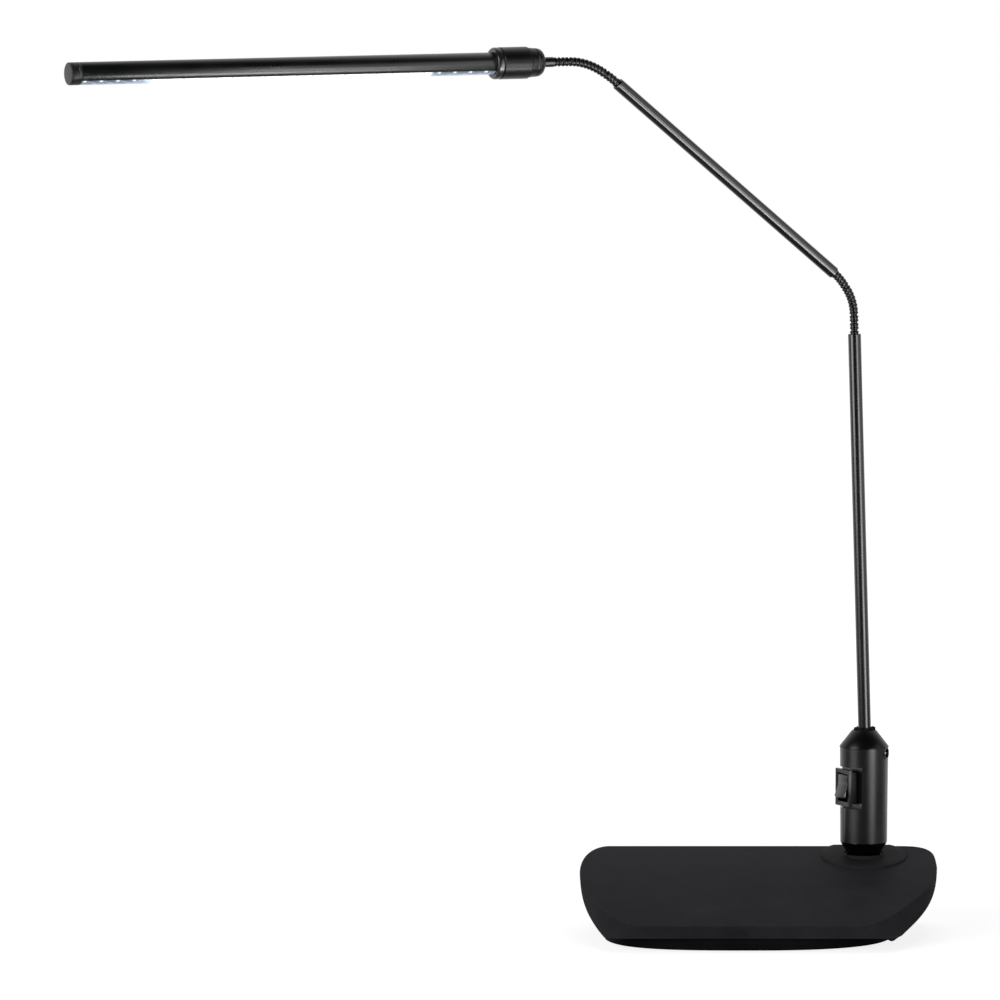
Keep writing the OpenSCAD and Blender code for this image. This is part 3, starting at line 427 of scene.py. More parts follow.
# Spark-eroded ABS: a soft charcoal black with a leathery grain of about half a millimetre
shell_abs = opaque_finish("spark_eroded_abs_black", "#1f1f21", "#2a2a2d", (0.58, 0.66), 0.8, 0.02, shine=0.02)
assemble(shell, "base", "base_plastic", shell_abs, "base_shell")

# Thin raised disc round the stem, cut off along the back edge, with a collar round the stem's foot
PAD_R, PAD_H, PAD_BACK_Y = 26.0, 1.2, 63.3
SOCKET_R, SOCKET_WALL = 10.4, 1.8
SEAT_Z = 42.6
PAD_POINTS = 160
PAD_HOLE_R = SOCKET_R + SOCKET_WALL - 0.2
# Radius of each ring and its height over the crown, from the outer foot over the top to the hole
PAD_RINGS = ((PAD_R, -0.8), (PAD_R, PAD_H - 0.35), (PAD_R - 0.12, PAD_H - 0.12), (PAD_R - 0.4, PAD_H),
             (19.0, PAD_H), (PAD_HOLE_R, PAD_H), (PAD_HOLE_R, -1.5), (PAD_R - 2, -1.5), (PAD_R, -0.8))
pad = start_rings("base_stem_pad", PAD_POINTS, len(PAD_RINGS))
pad_rings = []
for radius, rise in PAD_RINGS:
    ring = []
    for i in range(PAD_POINTS):
        turn = 2 * math.pi * i / PAD_POINTS
        x = STEM_AT[0] + radius * math.cos(turn)
        y = min(STEM_AT[1] + radius * math.sin(turn), PAD_BACK_Y - (PAD_R - radius) * 0.35)
        ring.append((x, y, crown_at(y, rise)))
    pad_rings.append(ring)
place_rings(pad, PAD_POINTS, pad_rings)
weld(pad)
assemble(pad, "base", "base_plastic", shell_abs)


# Turned pieces are drawn as half an outline and spun, the way they are machined
def turned(name, outline, place, steps=96):
    """Spins an outline of (radius, height) points in mm round a piece's own axis, at its place."""
    bpy.ops.object.select_all(action="DESELECT")
    bpy.ops.mesh.primitive_plane_add(size=1, location=(0, 0, 0))
    piece = bpy.context.object
    piece.name = piece.data.name = name
    bpy.ops.object.mode_set(mode="EDIT")
    bpy.ops.mesh.select_all(action="SELECT")
    bpy.ops.mesh.merge(type="CENTER")
    bpy.ops.transform.translate(value=(outline[0][0] * MM, 0, outline[0][1] * MM))
    for (r0, z0), (r1, z1) in zip(outline, outline[1:]):
        step = ((r1 - r0) * MM, 0, (z1 - z0) * MM)
        bpy.ops.mesh.extrude_region_move(TRANSFORM_OT_translate={"value": step})
    bpy.ops.mesh.select_all(action="SELECT")
    bpy.ops.mesh.spin(steps=steps, angle=2 * math.pi, center=(0, 0, 0), axis=(0, 0, 1))
    bpy.ops.mesh.select_all(action="SELECT")
    bpy.ops.mesh.remove_doubles(threshold=1e-6)
    bpy.ops.mesh.normals_make_consistent(inside=False)
    bpy.ops.object.mode_set(mode="OBJECT")
    piece.data.transform(place)
    return piece


def round_edges(piece, width, segments=3, angle=32):
    """Breaks a piece's sharp edges, as moulding and deburring do; width in mm."""
    apply_modifier(piece, "BEVEL", width=width * MM, segments=segments, limit_method="ANGLE",
                   angle_limit=math.radians(angle), use_clamp_overlap=True)
    return piece


SOCKET_FOOT_Z, SOCKET_TOP_Z = 40.5, SEAT_Z + 1.2
base_axis = Matrix.Translation((STEM_AT[0] * MM, STEM_AT[1] * MM, 0))
socket = turned("base_socket_collar", [
    (SOCKET_R, SOCKET_FOOT_Z), (SOCKET_R, SOCKET_TOP_Z), (SOCKET_R + SOCKET_WALL, SOCKET_TOP_Z),
    (SOCKET_R + SOCKET_WALL, SOCKET_FOOT_Z), (SOCKET_R, SOCKET_FOOT_Z)], base_axis, 128)
round_edges(socket, 0.3)
assemble(socket, "base", "base_plastic", shell_abs)


# Rubber feet: five discs of black nitrile rubber, pressed into pockets of the tray. Four stand
# near its corners, and the fifth carries its middle.
foot_rubber = opaque_finish("nitrile_rubber_black", "#070707", "#0d0d0d", (0.75, 0.9), 0.9, 0.03, shine=0.15)
paint(foot_rubber, "rubber_feet")


# Ballast and its screws: a plate of grey cast iron lies in the tray, held by two zinc-plated
# screws. Four more of the same kind close the base.
cast_iron = opaque_finish("sand_cast_iron", "#3a3a3b", "#565554", (0.55, 0.75), 1.6, 0.12, metallic=0.85)
zinc_plate = opaque_finish("zinc_plated_steel", "#a9aaa8", "#c6c7c4", (0.24, 0.38), 0.6, 0.004, metallic=1.0)
paint(cast_iron, "ballast_weight")
paint(zinc_plate, "ballast_screws", "base_screws")


# Swivel: a hollow turned spindle of plated steel runs in a flanged acetal bush pressed into the
# base. A spring steel washer and a hexagon nut below give the drag that holds the arm.
acetal = opaque_finish("acetal_ivory", "#cfcabb", "#e0dccf", (0.32, 0.44), 1.2, 0.006)
spring_steel = opaque_finish("spring_steel_strip", "#8a8a88", "#a8a7a4", (0.26, 0.4), 0.5, 0.003,
                             metallic=1.0, stretch=(1, 6, 1))
paint(acetal, "swivel_bush")
paint(spring_steel, "friction_washer")
paint(zinc_plate, "swivel_spindle", "spindle_nut")


# Foot cone of the stem: injection moulded and polished gloss black, the one mirror-like piece of
# the lamp. Its spigot is glued into the housing, and it turns on the base.
ARM_TURN = 26.5
FOOT_Z, HOUSING_Z, HOUSING_TOP = 42.8, 51.5, 109.1
stem = base_axis @ Matrix.Rotation(math.radians(180 + ARM_TURN), 4, "Z")
foot_cone = turned("stem_foot_cone", [
    (5.1, FOOT_Z + 0.05), (9.0, FOOT_Z + 0.05), (9.5, FOOT_Z + 0.4), (14.05, HOUSING_Z - 0.5),
    (14.1, HOUSING_Z - 0.02), (12.2, HOUSING_Z - 0.02), (12.2, HOUSING_Z + 4.6), (9.9, HOUSING_Z + 4.6),
    (9.9, HOUSING_Z + 1), (5.1, HOUSING_Z + 1), (5.1, FOOT_Z + 0.05)], stem, 128)
round_edges(foot_cone, 0.15)
# Polished ABS: near-black with a hard mirror gloss
gloss_abs = opaque_finish("polished_abs_gloss_black", "#020202", "#040404", (0.05, 0.1), 6.0, 0.002,
                          shine=0.3)
assemble(foot_cone, "stem", "cone_plastic", gloss_abs, "lower_cone")


# Housing: a length of turned aluminium tube, painted satin black, with a flat-bottomed pocket
# milled for the switch and a counterbored hole for the power inlet.
HOUSING_R1, HOUSING_R2, HOUSING_BORE = 14.2, 14.7, 12.4
RECESS_X, RECESS_H = 8.3, 25.2
SWITCH_Z = HOUSING_Z + 33.5
FRAME_X, FRAME_T, FRAME_W, FRAME_H = 15.1, 2.2, 17.0, 22.5
HOLE_W, HOLE_H = 12.0, 17.2
BLOCK_W, BLOCK_H = HOLE_W + 1.4, HOLE_H + 2.2
INLET_Z, INLET_X, INLET_R, INLET_BARREL_R, INLET_L = HOUSING_Z + 54.4, 15.6, 3.8, 3.3, 7.6
INLET_TURN = Matrix.Rotation(math.radians(128.5), 4, "Z")
inlet = (stem @ INLET_TURN @ Matrix.Translation((INLET_X * MM, 0, INLET_Z * MM))
         @ Matrix.Rotation(math.radians(90), 4, "Y"))


def block(name, low, high, place):
    """A box between two corners in mm, at a piece's own place."""
    bpy.ops.object.select_all(action="DESELECT")
    bpy.ops.mesh.primitive_cube_add(size=1, location=(0, 0, 0))
    piece = bpy.context.object
    piece.name = piece.data.name = name
    size = [(b - a) * MM for a, b in zip(low, high)]
    middle = [(b + a) / 2 * MM for a, b in zip(low, high)]
    piece.data.transform(place @ Matrix.Translation(middle) @ Matrix.Diagonal((*size, 1)))
    return piece


def cut(piece, *tools):
    """Cuts a piece with others, which are then thrown away."""
    for tool in tools:
        apply_modifier(piece, "BOOLEAN", object=tool, operation="DIFFERENCE", solver="EXACT")
        bpy.data.objects.remove(tool)
    return piece


def rod(name, radius, low, high, place, steps=96):
    """A plain closed cylinder along a piece's own axis, in mm."""
    return turned(name, [(0, low), (radius, low), (radius, high), (0, high)], place, steps)


housing = turned("stem_housing_tube", [(0, HOUSING_Z + 0.02), (HOUSING_R1, HOUSING_Z + 0.02),
                 (HOUSING_R2, HOUSING_TOP - 0.02), (0, HOUSING_TOP - 0.02)], stem, 160)
bore = rod("bore", HOUSING_BORE, HOUSING_Z - 1, HOUSING_TOP + 1, stem)
pocket_half = RECESS_H / 2
FIT = 0.1  # room round the pieces that sit in the housing's holes
cut(bore, block("pocket_back", (RECESS_X - 1.5, -20, SWITCH_Z - pocket_half - 1.5),
                (20, 20, SWITCH_Z + pocket_half + 1.5), stem))
cut(housing, bore,
    block("pocket", (RECESS_X, -20, SWITCH_Z - pocket_half), (20, 20, SWITCH_Z + pocket_half), stem),
    block("switch_hole", (0, -BLOCK_W / 2 - FIT, SWITCH_Z - BLOCK_H / 2 - FIT),
          (20, BLOCK_W / 2 + FIT, SWITCH_Z + BLOCK_H / 2 + FIT), stem),
    rod("barrel_hole", INLET_BARREL_R + FIT, 4 - INLET_X, 3, inlet, 64),
    rod("flange_hole", INLET_R + FIT, -1.2, 3, inlet, 64))
round_edges(housing, 0.28)
# Satin stove enamel on turned aluminium: charcoal black, faint turning lines under the paint
satin_enamel = opaque_finish("satin_enamel_on_aluminium", "#08080a", "#0e0e11", (0.26, 0.33), 0.5, 0.002,
                             stretch=(0.25, 0.25, 1), shine=0.5)
assemble(housing, "stem", "stem_paint", satin_enamel, "stem_housing")


# Top cone: turned aluminium, painted like the housing and a hair wider, so that a fine lip
# shadows the seam. Its spigot sits in the housing's bore.
top_cone = turned("stem_top_cone", [
    (7.4, HOUSING_TOP - 5), (12.25, HOUSING_TOP - 5), (12.25, HOUSING_TOP + 0.03),
    (14.7, HOUSING_TOP + 0.03), (14.95, HOUSING_TOP + 0.3), (14.9, HOUSING_TOP + 0.75), (7.5, 119.3),
    (7.2, 119.45), (6.7, 119.45), (6.7, 116.4), (4.5, 116.4), (4.5, HOUSING_TOP + 0.03),
    (7.4, HOUSING_TOP + 0.03), (7.4, HOUSING_TOP - 5)], stem, 128)
cut(top_cone, rod("flange_gap", INLET_R + FIT, -1.2, 3, inlet, 64),
    rod("barrel_gap", INLET_BARREL_R + 0.2, 3.5 - INLET_X, 0, inlet, 64),
    block("barrel_slot", (4.6, -3.8, HOUSING_TOP - 6), (20, 3.8, INLET_Z), stem @ INLET_TURN))
round_edges(top_cone, 0.18)
# The same enamel on the slope, a shade darker and with a weaker sheen than on the housing
cone_enamel = opaque_finish("satin_enamel_top_cone", "#050506", "#0a0a0b", (0.28, 0.36), 0.5, 0.006,
                            shine=0.25)
assemble(top_cone, "stem", "stem_paint", cone_enamel, "upper_cone")


# Gland: a soft black rubber seal, split into petals that grip the pole where it leaves the cone.
# A hexagon nut clamps the pole inside.
joint_at = {joint["name"]: Vector(joint["pos_m"]) for joint in frame["joints"]}
joint_axis = {joint["name"]: Vector(joint["axis"]).normalized() for joint in frame["joints"]}
bend_axis = joint_axis["low_bend_1"]
LOW_PITCH, UP_PITCH = 2.31, 2.55
POLE_L, POLE_R = 241.0, 3.9


def chain_place(start, along):
    """Place of a piece in the arm's plane: its own Z runs along it, its Y is the bend axis."""
    along = along.normalized()
    across = bend_axis.cross(along)
    return Matrix.Translation(start) @ Matrix((across, bend_axis, along)).transposed().to_4x4()


pole_along = joint_axis["low_sway_1"].cross(bend_axis)
pole_end = joint_at["low_sway_1"] - pole_along * LOW_PITCH * MM
pole_foot = chain_place(pole_end - pole_along * POLE_L * MM, pole_along)
GLAND_POINTS, PETALS = 120, 10
# Radius and height of each ring, and how much its petals rise and fall
GLAND_RINGS = ((4.0, -2.8, 0), (6.4, -2.8, 0), (6.5, 0.1, 0), (6.5, 0.6, 0.25), (6.1, 1.1, 0.55),
               (5.4, 1.5, 0.45), (4.8, 1.3, 0.25), (4.0, 1.2, 0), (4.0, -2.8, 0))
gland = start_rings("pole_gland_seal", GLAND_POINTS, len(GLAND_RINGS))
gland_rings = []
for radius, height, wave in GLAND_RINGS:
    ring = []
    for i in range(GLAND_POINTS):
        turn = 2 * math.pi * i / GLAND_POINTS
        petal = math.cos(PETALS * turn) + 0.25 * math.sin(3 * turn + 0.7)
        reach = radius + 0.5 * wave * petal
        ring.append((reach * math.cos(turn), reach * math.sin(turn), height + wave * petal))
    gland_rings.append(ring)
place_rings(gland, GLAND_POINTS, gland_rings)
weld(gland)
gland.data.transform(pole_foot)
assemble(gland, "stem", "gland_rubber", foot_rubber, "pole_gland")
paint(zinc_plate, "pole_nut")


# Switch: a snap-in rocker switch in black nylon. A stepped frame stands off the pocket, a block
# carries the contacts, and the rocker has a dished, polished face. Two brass blades are behind.
switch = stem @ Matrix.Translation((0, 0, SWITCH_Z * MM))
frame_plate = block("switch_frame_plate", (FRAME_X - FRAME_T, -FRAME_W / 2, -FRAME_H / 2),
                    (FRAME_X, FRAME_W / 2, FRAME_H / 2), Matrix())


def step_face(piece, steps, normal):
    """Insets and sinks the face that looks along a normal, once for each (inset, sink) in mm."""
    take_up(piece)
    bpy.ops.object.mode_set(mode="EDIT")
    bpy.ops.mesh.select_mode(type="FACE")
    bpy.ops.mesh.select_all(action="DESELECT")
    mesh = bmesh.from_edit_mesh(piece.data)
    mesh.faces.ensure_lookup_table()
    for face in mesh.faces:
        face.select_set(face.normal.dot(normal) > 0.99)
    bmesh.update_edit_mesh(piece.data)
    for inset, sink in steps:
        bpy.ops.mesh.inset(thickness=inset * MM, depth=0)
        if sink:
            bpy.ops.mesh.extrude_region_move(TRANSFORM_OT_translate={"value": normal * -sink * MM})
    bpy.ops.mesh.select_mode(type="VERT")
    bpy.ops.object.mode_set(mode="OBJECT")


step_face(frame_plate, ((1.0, 0.28), (0.45, -0.16), (0.45, 0.3)), Vector((1, 0, 0)))
cut(frame_plate, block("rocker_gap", (0, -HOLE_W / 2, -HOLE_H / 2), (30, HOLE_W / 2, HOLE_H / 2), Matrix()))
round_edges(frame_plate, 0.16, 2)
frame_plate.data.transform(switch)
# Glass-filled nylon: satin black with a faint haze
switch_nylon = opaque_finish("glass_filled_nylon_black", "#0c0c0e", "#141417", (0.24, 0.32), 0.6, 0.006)
assemble(frame_plate, "stem", "switch_plastic", switch_nylon, "switch_frame")

ROCKER_X = FRAME_X - 4.9
switch_block = block("switch_block", (FRAME_X - FRAME_T - 13.9, -BLOCK_W / 2, -BLOCK_H / 2),
                     (FRAME_X - FRAME_T - 0.02, BLOCK_W / 2, BLOCK_H / 2), Matrix())
cut(switch_block, block("rocker_room", (ROCKER_X - 3.8, -HOLE_W / 2, -HOLE_H / 2),
                        (30, HOLE_W / 2, HOLE_H / 2), Matrix()))
round_edges(switch_block, 0.2, 2)
switch_block.data.transform(switch)
# The block behind is the same nylon, left matt
block_nylon = opaque_finish("matt_nylon_black", "#070707", "#0d0d0e", (0.42, 0.52), 0.6, 0.01, shine=0.2)
assemble(switch_block, "stem", "switch_inner", block_nylon, "switch_body")


def extruded(name, section, low, high, place):
    """Pulls a closed outline of (x, y) points in mm along a piece's own axis and closes its ends."""
    piece = start_rings(name, len(section), 2)
    place_rings(piece, len(section), [[(x, y, z) for x, y in section] for z in (low, high)])
    weld(piece, fill=True)
    piece.data.transform(place)
    return piece


ROCKER_TURN = 12
ROCKER_W = HOLE_W - 0.8
FACE_HALF, FACE_TOP, DISH_DEPTH, DISH_STEPS = 6.6, 6.1, 1.1, 16
dish = []
for k in range(DISH_STEPS + 1):
    across = -FACE_HALF + 2 * FACE_HALF * k / DISH_STEPS
    dish.append((FACE_TOP - DISH_DEPTH * math.cos(math.pi / 2 * across / FACE_HALF) ** 1.5, across))
rocker_section = [(-2, -7.0), (5.3, -7.25)] + dish + [(5.3, 7.25), (-2, 7.0)]
rocker_key = extruded("switch_rocker", rocker_section, -ROCKER_W / 2, ROCKER_W / 2,
                      Matrix.Rotation(math.radians(90), 4, "X"))
round_edges(rocker_key, 0.35, 3)
rocker_key.data.transform(switch @ Matrix.Translation((ROCKER_X * MM, 0, 0))
                          @ Matrix.Rotation(math.radians(-ROCKER_TURN), 4, "Y"))
# Polished nylon: the finger rubs it bright, so it has the sharpest highlight of the switch
rocker_nylon = opaque_finish("polished_nylon_black", "#050506", "#09090b", (0.12, 0.2), 2.0, 0.003, shine=0.6)
assemble(rocker_key, "rocker", "switch_plastic", rocker_nylon, "rocker")
brass = opaque_finish("rolled_brass", "#b08d4a", "#c9a860", (0.25, 0.38), 0.5, 0.003, metallic=1.0)
paint(brass, "switch_terminals")


# Power inlet: a moulded barrel with a flange that lies nearly flush in the housing, round a
# nickel-plated centre pin.
INLET_FLOOR = 1.5 - INLET_L
inlet_socket = turned("power_inlet_socket", [
    (0, -INLET_L), (INLET_BARREL_R, -INLET_L), (INLET_BARREL_R, -1.18), (INLET_R, -1.18),
    (INLET_R, -0.95), (INLET_R - 0.25, -0.75), (3.0, -0.75), (2.75, -1.0), (2.75, INLET_FLOOR),
    (0, INLET_FLOOR)], inlet, 72)
assemble(inlet_socket, "stem", "inlet_plastic", switch_nylon, "power_inlet")
inlet_contact = turned("power_inlet_contact", [
    (0, INLET_FLOOR), (1.0, INLET_FLOOR), (1.0, -1.9), (0.8, -1.5), (0.4, -1.35), (0, -1.32)], inlet, 48)
# Nickel plate: bright and slightly warm, worn smooth by the plug
nickel = opaque_finish("nickel_plated_contact", "#c3c0b8", "#d9d6cf", (0.16, 0.26), 0.6, 0.002, metallic=1.0)
assemble(inlet_contact, "stem", "contact_nickel", nickel, "inlet_pin")


# Driver board: green solder-masked glass epoxy with its coil and chip. It stands upright in the
# housing and feeds the light strip.
solder_mask = opaque_finish("green_solder_mask", "#1b5a33", "#2a7345", (0.28, 0.4), 0.9, 0.01, coat=0.4)
component_black = opaque_finish("epoxy_moulded_component", "#161616", "#232322", (0.45, 0.6), 0.7, 0.01)
paint(solder_mask, "driver_board")
paint(component_black, "driver_parts")


# Pole: drawn steel tube, semi-gloss black powder coat, clamped in the top cone and leaning two
# degrees towards the arm under the head's weight.
POLE_WALL, POLE_IN_NUT, TUBE_CHAMFER = 1.0, 21, 0.35


def tube_outline(radius, wall, low, high):
    """Half outline of a tube with a broken outer edge at each end, in mm."""
    return [(radius - wall, low), (radius - TUBE_CHAMFER, low), (radius, low + TUBE_CHAMFER),
            (radius, high - TUBE_CHAMFER), (radius - TUBE_CHAMFER, high), (radius - wall, high),
            (radius - wall, low)]


pole = turned("pole_tube", tube_outline(POLE_R, POLE_WALL, -POLE_IN_NUT, POLE_L), pole_foot, 72)
# Semi-gloss powder coat: deep black, smooth enough for a clear stripe of light along the tube
powder_coat = opaque_finish("semi_gloss_powder_coat", "#040405", "#08080a", (0.18, 0.23), 1.4, 0.0004,
                            shine=0.7)
assemble(pole, "stem", "pole_paint", powder_coat, "pole")


# Flexible necks: hollow links with two rolled ribs each, in black-oxide steel, plugged into the
# tubes at both ends. At four places of each neck a ball turns in the socket of the next link. The
# links between are pressed together and keep their bend.
RIB_R, NECK_R, GROOVE_R, BALL_R, NECK_BORE = 0.72, 2.75, 2.42, 2.0, 1.1
SOCKET_GAP, LIP_GAP, LIP_RISE, PLUG_L = 0.08, 0.12, 0.05, 7.0
RIB_SIDE, RIB_STEPS, BALL_STEPS = 78, 12, 6


def rib_outline(ribs, pitch, socket, ball, plug=None, plug_up=False):
    """Half outline of one link, from its lower joint to its upper one, in mm.

    A joint that turns has a ball in a socket; the others close up to a shallow groove.
    """
    length = ribs * pitch
    outer = [(plug, -PLUG_L), (plug, 0.0)] if plug and not plug_up else []
    outer.append((BALL_R + LIP_GAP, pitch / 2 - RIB_R + LIP_RISE) if socket else (GROOVE_R, 0.0))
    for rib in range(ribs):
        for k in range(RIB_STEPS + 1):
            angle = math.radians(RIB_SIDE * (2 * k / RIB_STEPS - 1))
            radius = NECK_R - RIB_R + RIB_R * math.cos(angle)
            open_side = (socket and rib == 0) if angle < 0 else (ball and rib == ribs - 1)
            outer.append((radius if open_side else max(radius, GROOVE_R),
                          (rib + 0.5) * pitch + RIB_R * math.sin(angle)))
    if ball:
        for k in range(BALL_STEPS + 1):
            angle = math.radians(-10 + 65 * k / BALL_STEPS)
            outer.append((BALL_R * math.cos(angle), length + BALL_R * math.sin(angle)))
    else:
        outer.append((GROOVE_R, length))
    if plug and plug_up:
        outer += [(plug, length), (plug, length + PLUG_L)]
    outer.append((NECK_BORE, outer[-1][1]))
    if socket:
        for k in range(BALL_STEPS + 1):
            angle = math.radians(57 - 37 * k / BALL_STEPS)
            outer.append(((BALL_R + SOCKET_GAP) * math.cos(angle), (BALL_R + SOCKET_GAP) * math.sin(angle)))
    else:
        outer.append((NECK_BORE, outer[0][1]))
    outer.append(outer[0])
    return outer


# Black oxide on rolled steel: blue-black, polished bright along the crown of each rib
rib_steel = opaque_finish("black_oxide_rolled_steel", "#040405", "#08080a", (0.14, 0.2), 0.5, 0.0004,
                          shine=0.4)
PLUG_POLE, PLUG_ARM, PLUG_STUB = 2.8, 2.65, 2.3
ARM_R, ARM_WALL, ARM_L = 3.65, 0.9, 186.4
LOW_RIBS, UP_RIBS = [1, 2, 2, 2, 2, 2, 2, 2, 2, 1], [2, 2, 2, 2, 2, 2, 2, 2, 1, 1]
LOW_BEND, UP_BEND, TURNING_BEND = 50.16, 38.94, 3.0
LOW_BODIES = ["stem", "low_link_1", "low_link_2"] + ["low_link_3"] * 4 + ["arm"] * 3
UP_BODIES = ["arm"] * 2 + ["up_link_1"] * 5 + ["up_link_2", "up_link_3", "collar"]


def rest_bends(total, grow, turning):
    """Bends of a neck's seven bending steps in degrees; the two that turn keep a small one."""
    shares = [0 if k in turning else 1 + grow * (k - 3) / 3 for k in range(7)]
    return [share * (total - 2 * TURNING_BEND) / sum(shares) if share else TURNING_BEND
            for share in shares]


def neck_chain(start, along, ribs, turns, pitch):
    """Where each link of a neck starts and which way it runs, from the root past the tip."""
    starts, ways = [start], [along.normalized()]
    for count, turn in zip(ribs, turns):
        starts.append(starts[-1] + ways[-1] * count * pitch * MM)
        ways.append(Matrix.Rotation(math.radians(turn), 3, bend_axis) @ ways[-1])
    return starts, ways


low_turns = [0, 0] + rest_bends(LOW_BEND, -0.2, (0, 4)) + [0]
low_starts, low_ways = neck_chain(pole_end, pole_along, LOW_RIBS, low_turns, LOW_PITCH)
arm_start, arm_along = low_starts[-1], low_ways[-1]
arm_end = arm_start + arm_along * ARM_L * MM
up_turns = rest_bends(UP_BEND, 0.25, (1, 6)) + [0, 0, 0]
up_starts, up_ways = neck_chain(arm_end, arm_along, UP_RIBS, up_turns, UP_PITCH)
collar_start, head_along = up_starts[-1], up_ways[-1]

# turning lists the joints that have a ball and socket, counted from the joint before link 1
for side, starts, ways, ribs, pitch, bodies, turning, plugs in (
        ("low", low_starts, low_ways, LOW_RIBS, LOW_PITCH, LOW_BODIES, (1, 2, 3, 7), (PLUG_POLE, PLUG_ARM)),
        ("up", up_starts, up_ways, UP_RIBS, UP_PITCH, UP_BODIES, (2, 7, 8, 9), (PLUG_ARM, PLUG_STUB))):
    for k in range(10):
        name = {0: "root", 9: "tip"}.get(k, str(k))
        plug = {0: plugs[0], 9: plugs[1]}.get(k)
        outline = rib_outline(ribs[k], pitch, k in turning, k + 1 in turning, plug, k == 9)
        link = turned(f"{side}_neck_ribs_{name}", outline, chain_place(starts[k], ways[k]), 56)
        assemble(link, bodies[k], "neck_metal", rib_steel, f"{side}_neck_{name}", smooth=50)


# Arm: a straight length of the same drawn and powder-coated tube as the pole, a little thinner.
# The necks are pressed into its ends.
arm_tube = turned("arm_tube_drawn", tube_outline(ARM_R, ARM_WALL, 0, ARM_L),
                  chain_place(arm_start, arm_along), 72)
assemble(arm_tube, "arm", "pole_paint", powder_coat, "arm_tube")


# Collar: a stub with a small flange carries a domed cap and a sleeve, turned from aluminium and
# painted satin black. Inside, an acetal bush and a wave washer press on the lamp tube, so it
# stays where it is rolled.
head = chain_place(collar_start, head_along)
STUB_R, STUB_L, COLLAR_R, CAP_L, SLEEVE_L, RING_L = 3.0, 7.6, 9.4, 10.0, 18.0, 4.0
SLEEVE_Z, SLEEVE_FLOOR = STUB_L + CAP_L, 2.4
RING_START = SLEEVE_Z + SLEEVE_L + 0.3
RING_END = RING_START + RING_L
stub = turned("collar_stub", [
    (2.4, 0.02), (2.8, 0.02), (STUB_R, 0.25), (STUB_R, STUB_L - 1.2), (3.4, STUB_L - 0.95),
    (3.4, STUB_L - 0.03), (2.8, STUB_L), (2.8, STUB_L + 5), (2.4, STUB_L + 5), (2.4, 0.02)], head, 64)
assemble(stub, "collar", "pole_paint", powder_coat, "neck_ferrule")
dome = [(3.2, STUB_L), (4.5, STUB_L), (5.4, STUB_L + 0.15), (6.4, STUB_L + 0.5), (7.2, STUB_L + 1.1),
        (7.8, STUB_L + 1.9), (8.15, STUB_L + 2.8), (8.35, STUB_L + 3.9), (8.4, STUB_L + 4.9),
        (8.15, STUB_L + 5.15), (8.1, STUB_L + 5.7), (8.45, STUB_L + 5.95), (8.65, STUB_L + 7.6),
        (8.75, SLEEVE_Z - 0.3), (8.55, SLEEVE_Z - 0.05)]
cap = turned("collar_cap_dome", dome + [(6.0, SLEEVE_Z - 0.05), (6.0, SLEEVE_Z - 4.8), (3.2, SLEEVE_Z - 4.8),
             (3.2, STUB_L)], head, 112)
# Satin paint on turned aluminium: black with a soft window of light along its upper side
collar_enamel = opaque_finish("satin_enamel_collar", "#060607", "#0a0a0c", (0.28, 0.36), 0.6, 0.002,
                              shine=0.4)
assemble(cap, "collar", "collar_paint", collar_enamel, "rear_cap")
sleeve = turned("collar_sleeve_turned", [
    (3.1, SLEEVE_Z + 0.03), (8.95, SLEEVE_Z + 0.03), (COLLAR_R, SLEEVE_Z + 0.5),
    (COLLAR_R, SLEEVE_Z + SLEEVE_L - 0.35), (9.1, SLEEVE_Z + SLEEVE_L - 0.02),
    (8.0, SLEEVE_Z + SLEEVE_L - 0.02), (8.0, SLEEVE_Z + SLEEVE_FLOOR), (3.1, SLEEVE_Z + SLEEVE_FLOOR),
    (3.1, SLEEVE_Z + 0.03)], head, 112)
assemble(sleeve, "collar", "collar_paint", collar_enamel, "collar_sleeve")
paint(acetal, "friction_bush", "tube_plug")
paint(spring_steel, "wave_washer", "spindle_clip")
front = turned("collar_front_ring", [
    (6.55, RING_START), (8.9, RING_START), (9.25, RING_START + 0.35), (9.3, RING_END - 1.1),
    (9.05, RING_END - 0.6), (8.5, RING_END - 0.05), (7.2, RING_END), (6.55, RING_END - 0.2),
    (6.55, RING_START)], head, 112)
# The ring's enamel is rubbed by the hand that rolls the head, so it is a shade lighter and shinier
ring_enamel = opaque_finish("satin_enamel_front_ring", "#141416", "#1e1e21", (0.22, 0.3), 0.6, 0.005,
                            shine=0.9)
assemble(front, "head", "collar_paint", ring_enamel, "front_ring")


# Lamp tube: a round aluminium extrusion, open below for the lens, black anodised. It turns with
# the front ring, on a spindle that a clip holds in the collar.
LAMP_R, LAMP_WALL, LAMP_L, LENS_HALF = 6.5, 0.8, 260.5, 50
WAVE_WASHER_ROOM, PLUG_FLANGE = 1, 1.3
TUBE_Z = SLEEVE_Z + SLEEVE_FLOOR + WAVE_WASHER_ROOM + PLUG_FLANGE
LAMP_END = RING_END + LAMP_L
lamp_tube = turned("lamp_tube_extrusion", [
    (LAMP_R - LAMP_WALL, TUBE_Z), (LAMP_R, TUBE_Z), (LAMP_R, LAMP_END), (LAMP_R - LAMP_WALL, LAMP_END),
    (LAMP_R - LAMP_WALL, TUBE_Z)], head, 96)
slope = math.tan(math.radians(LENS_HALF))
cut(lamp_tube, extruded("lens_gap", [(0, 0), (10, -10 * slope), (20, 0), (10, 10 * slope)], RING_END,
                        LAMP_END + 1, head))
round_edges(lamp_tube, 0.12, 2)
# Black anodised extrusion: blue-black
anodised = opaque_finish("black_anodised_extrusion", "#040507", "#08090b", (0.26, 0.34), 0.45, 0.001,
                         shine=0.7)
assemble(lamp_tube, "head", "tube_paint", anodised, "lamp_tube")
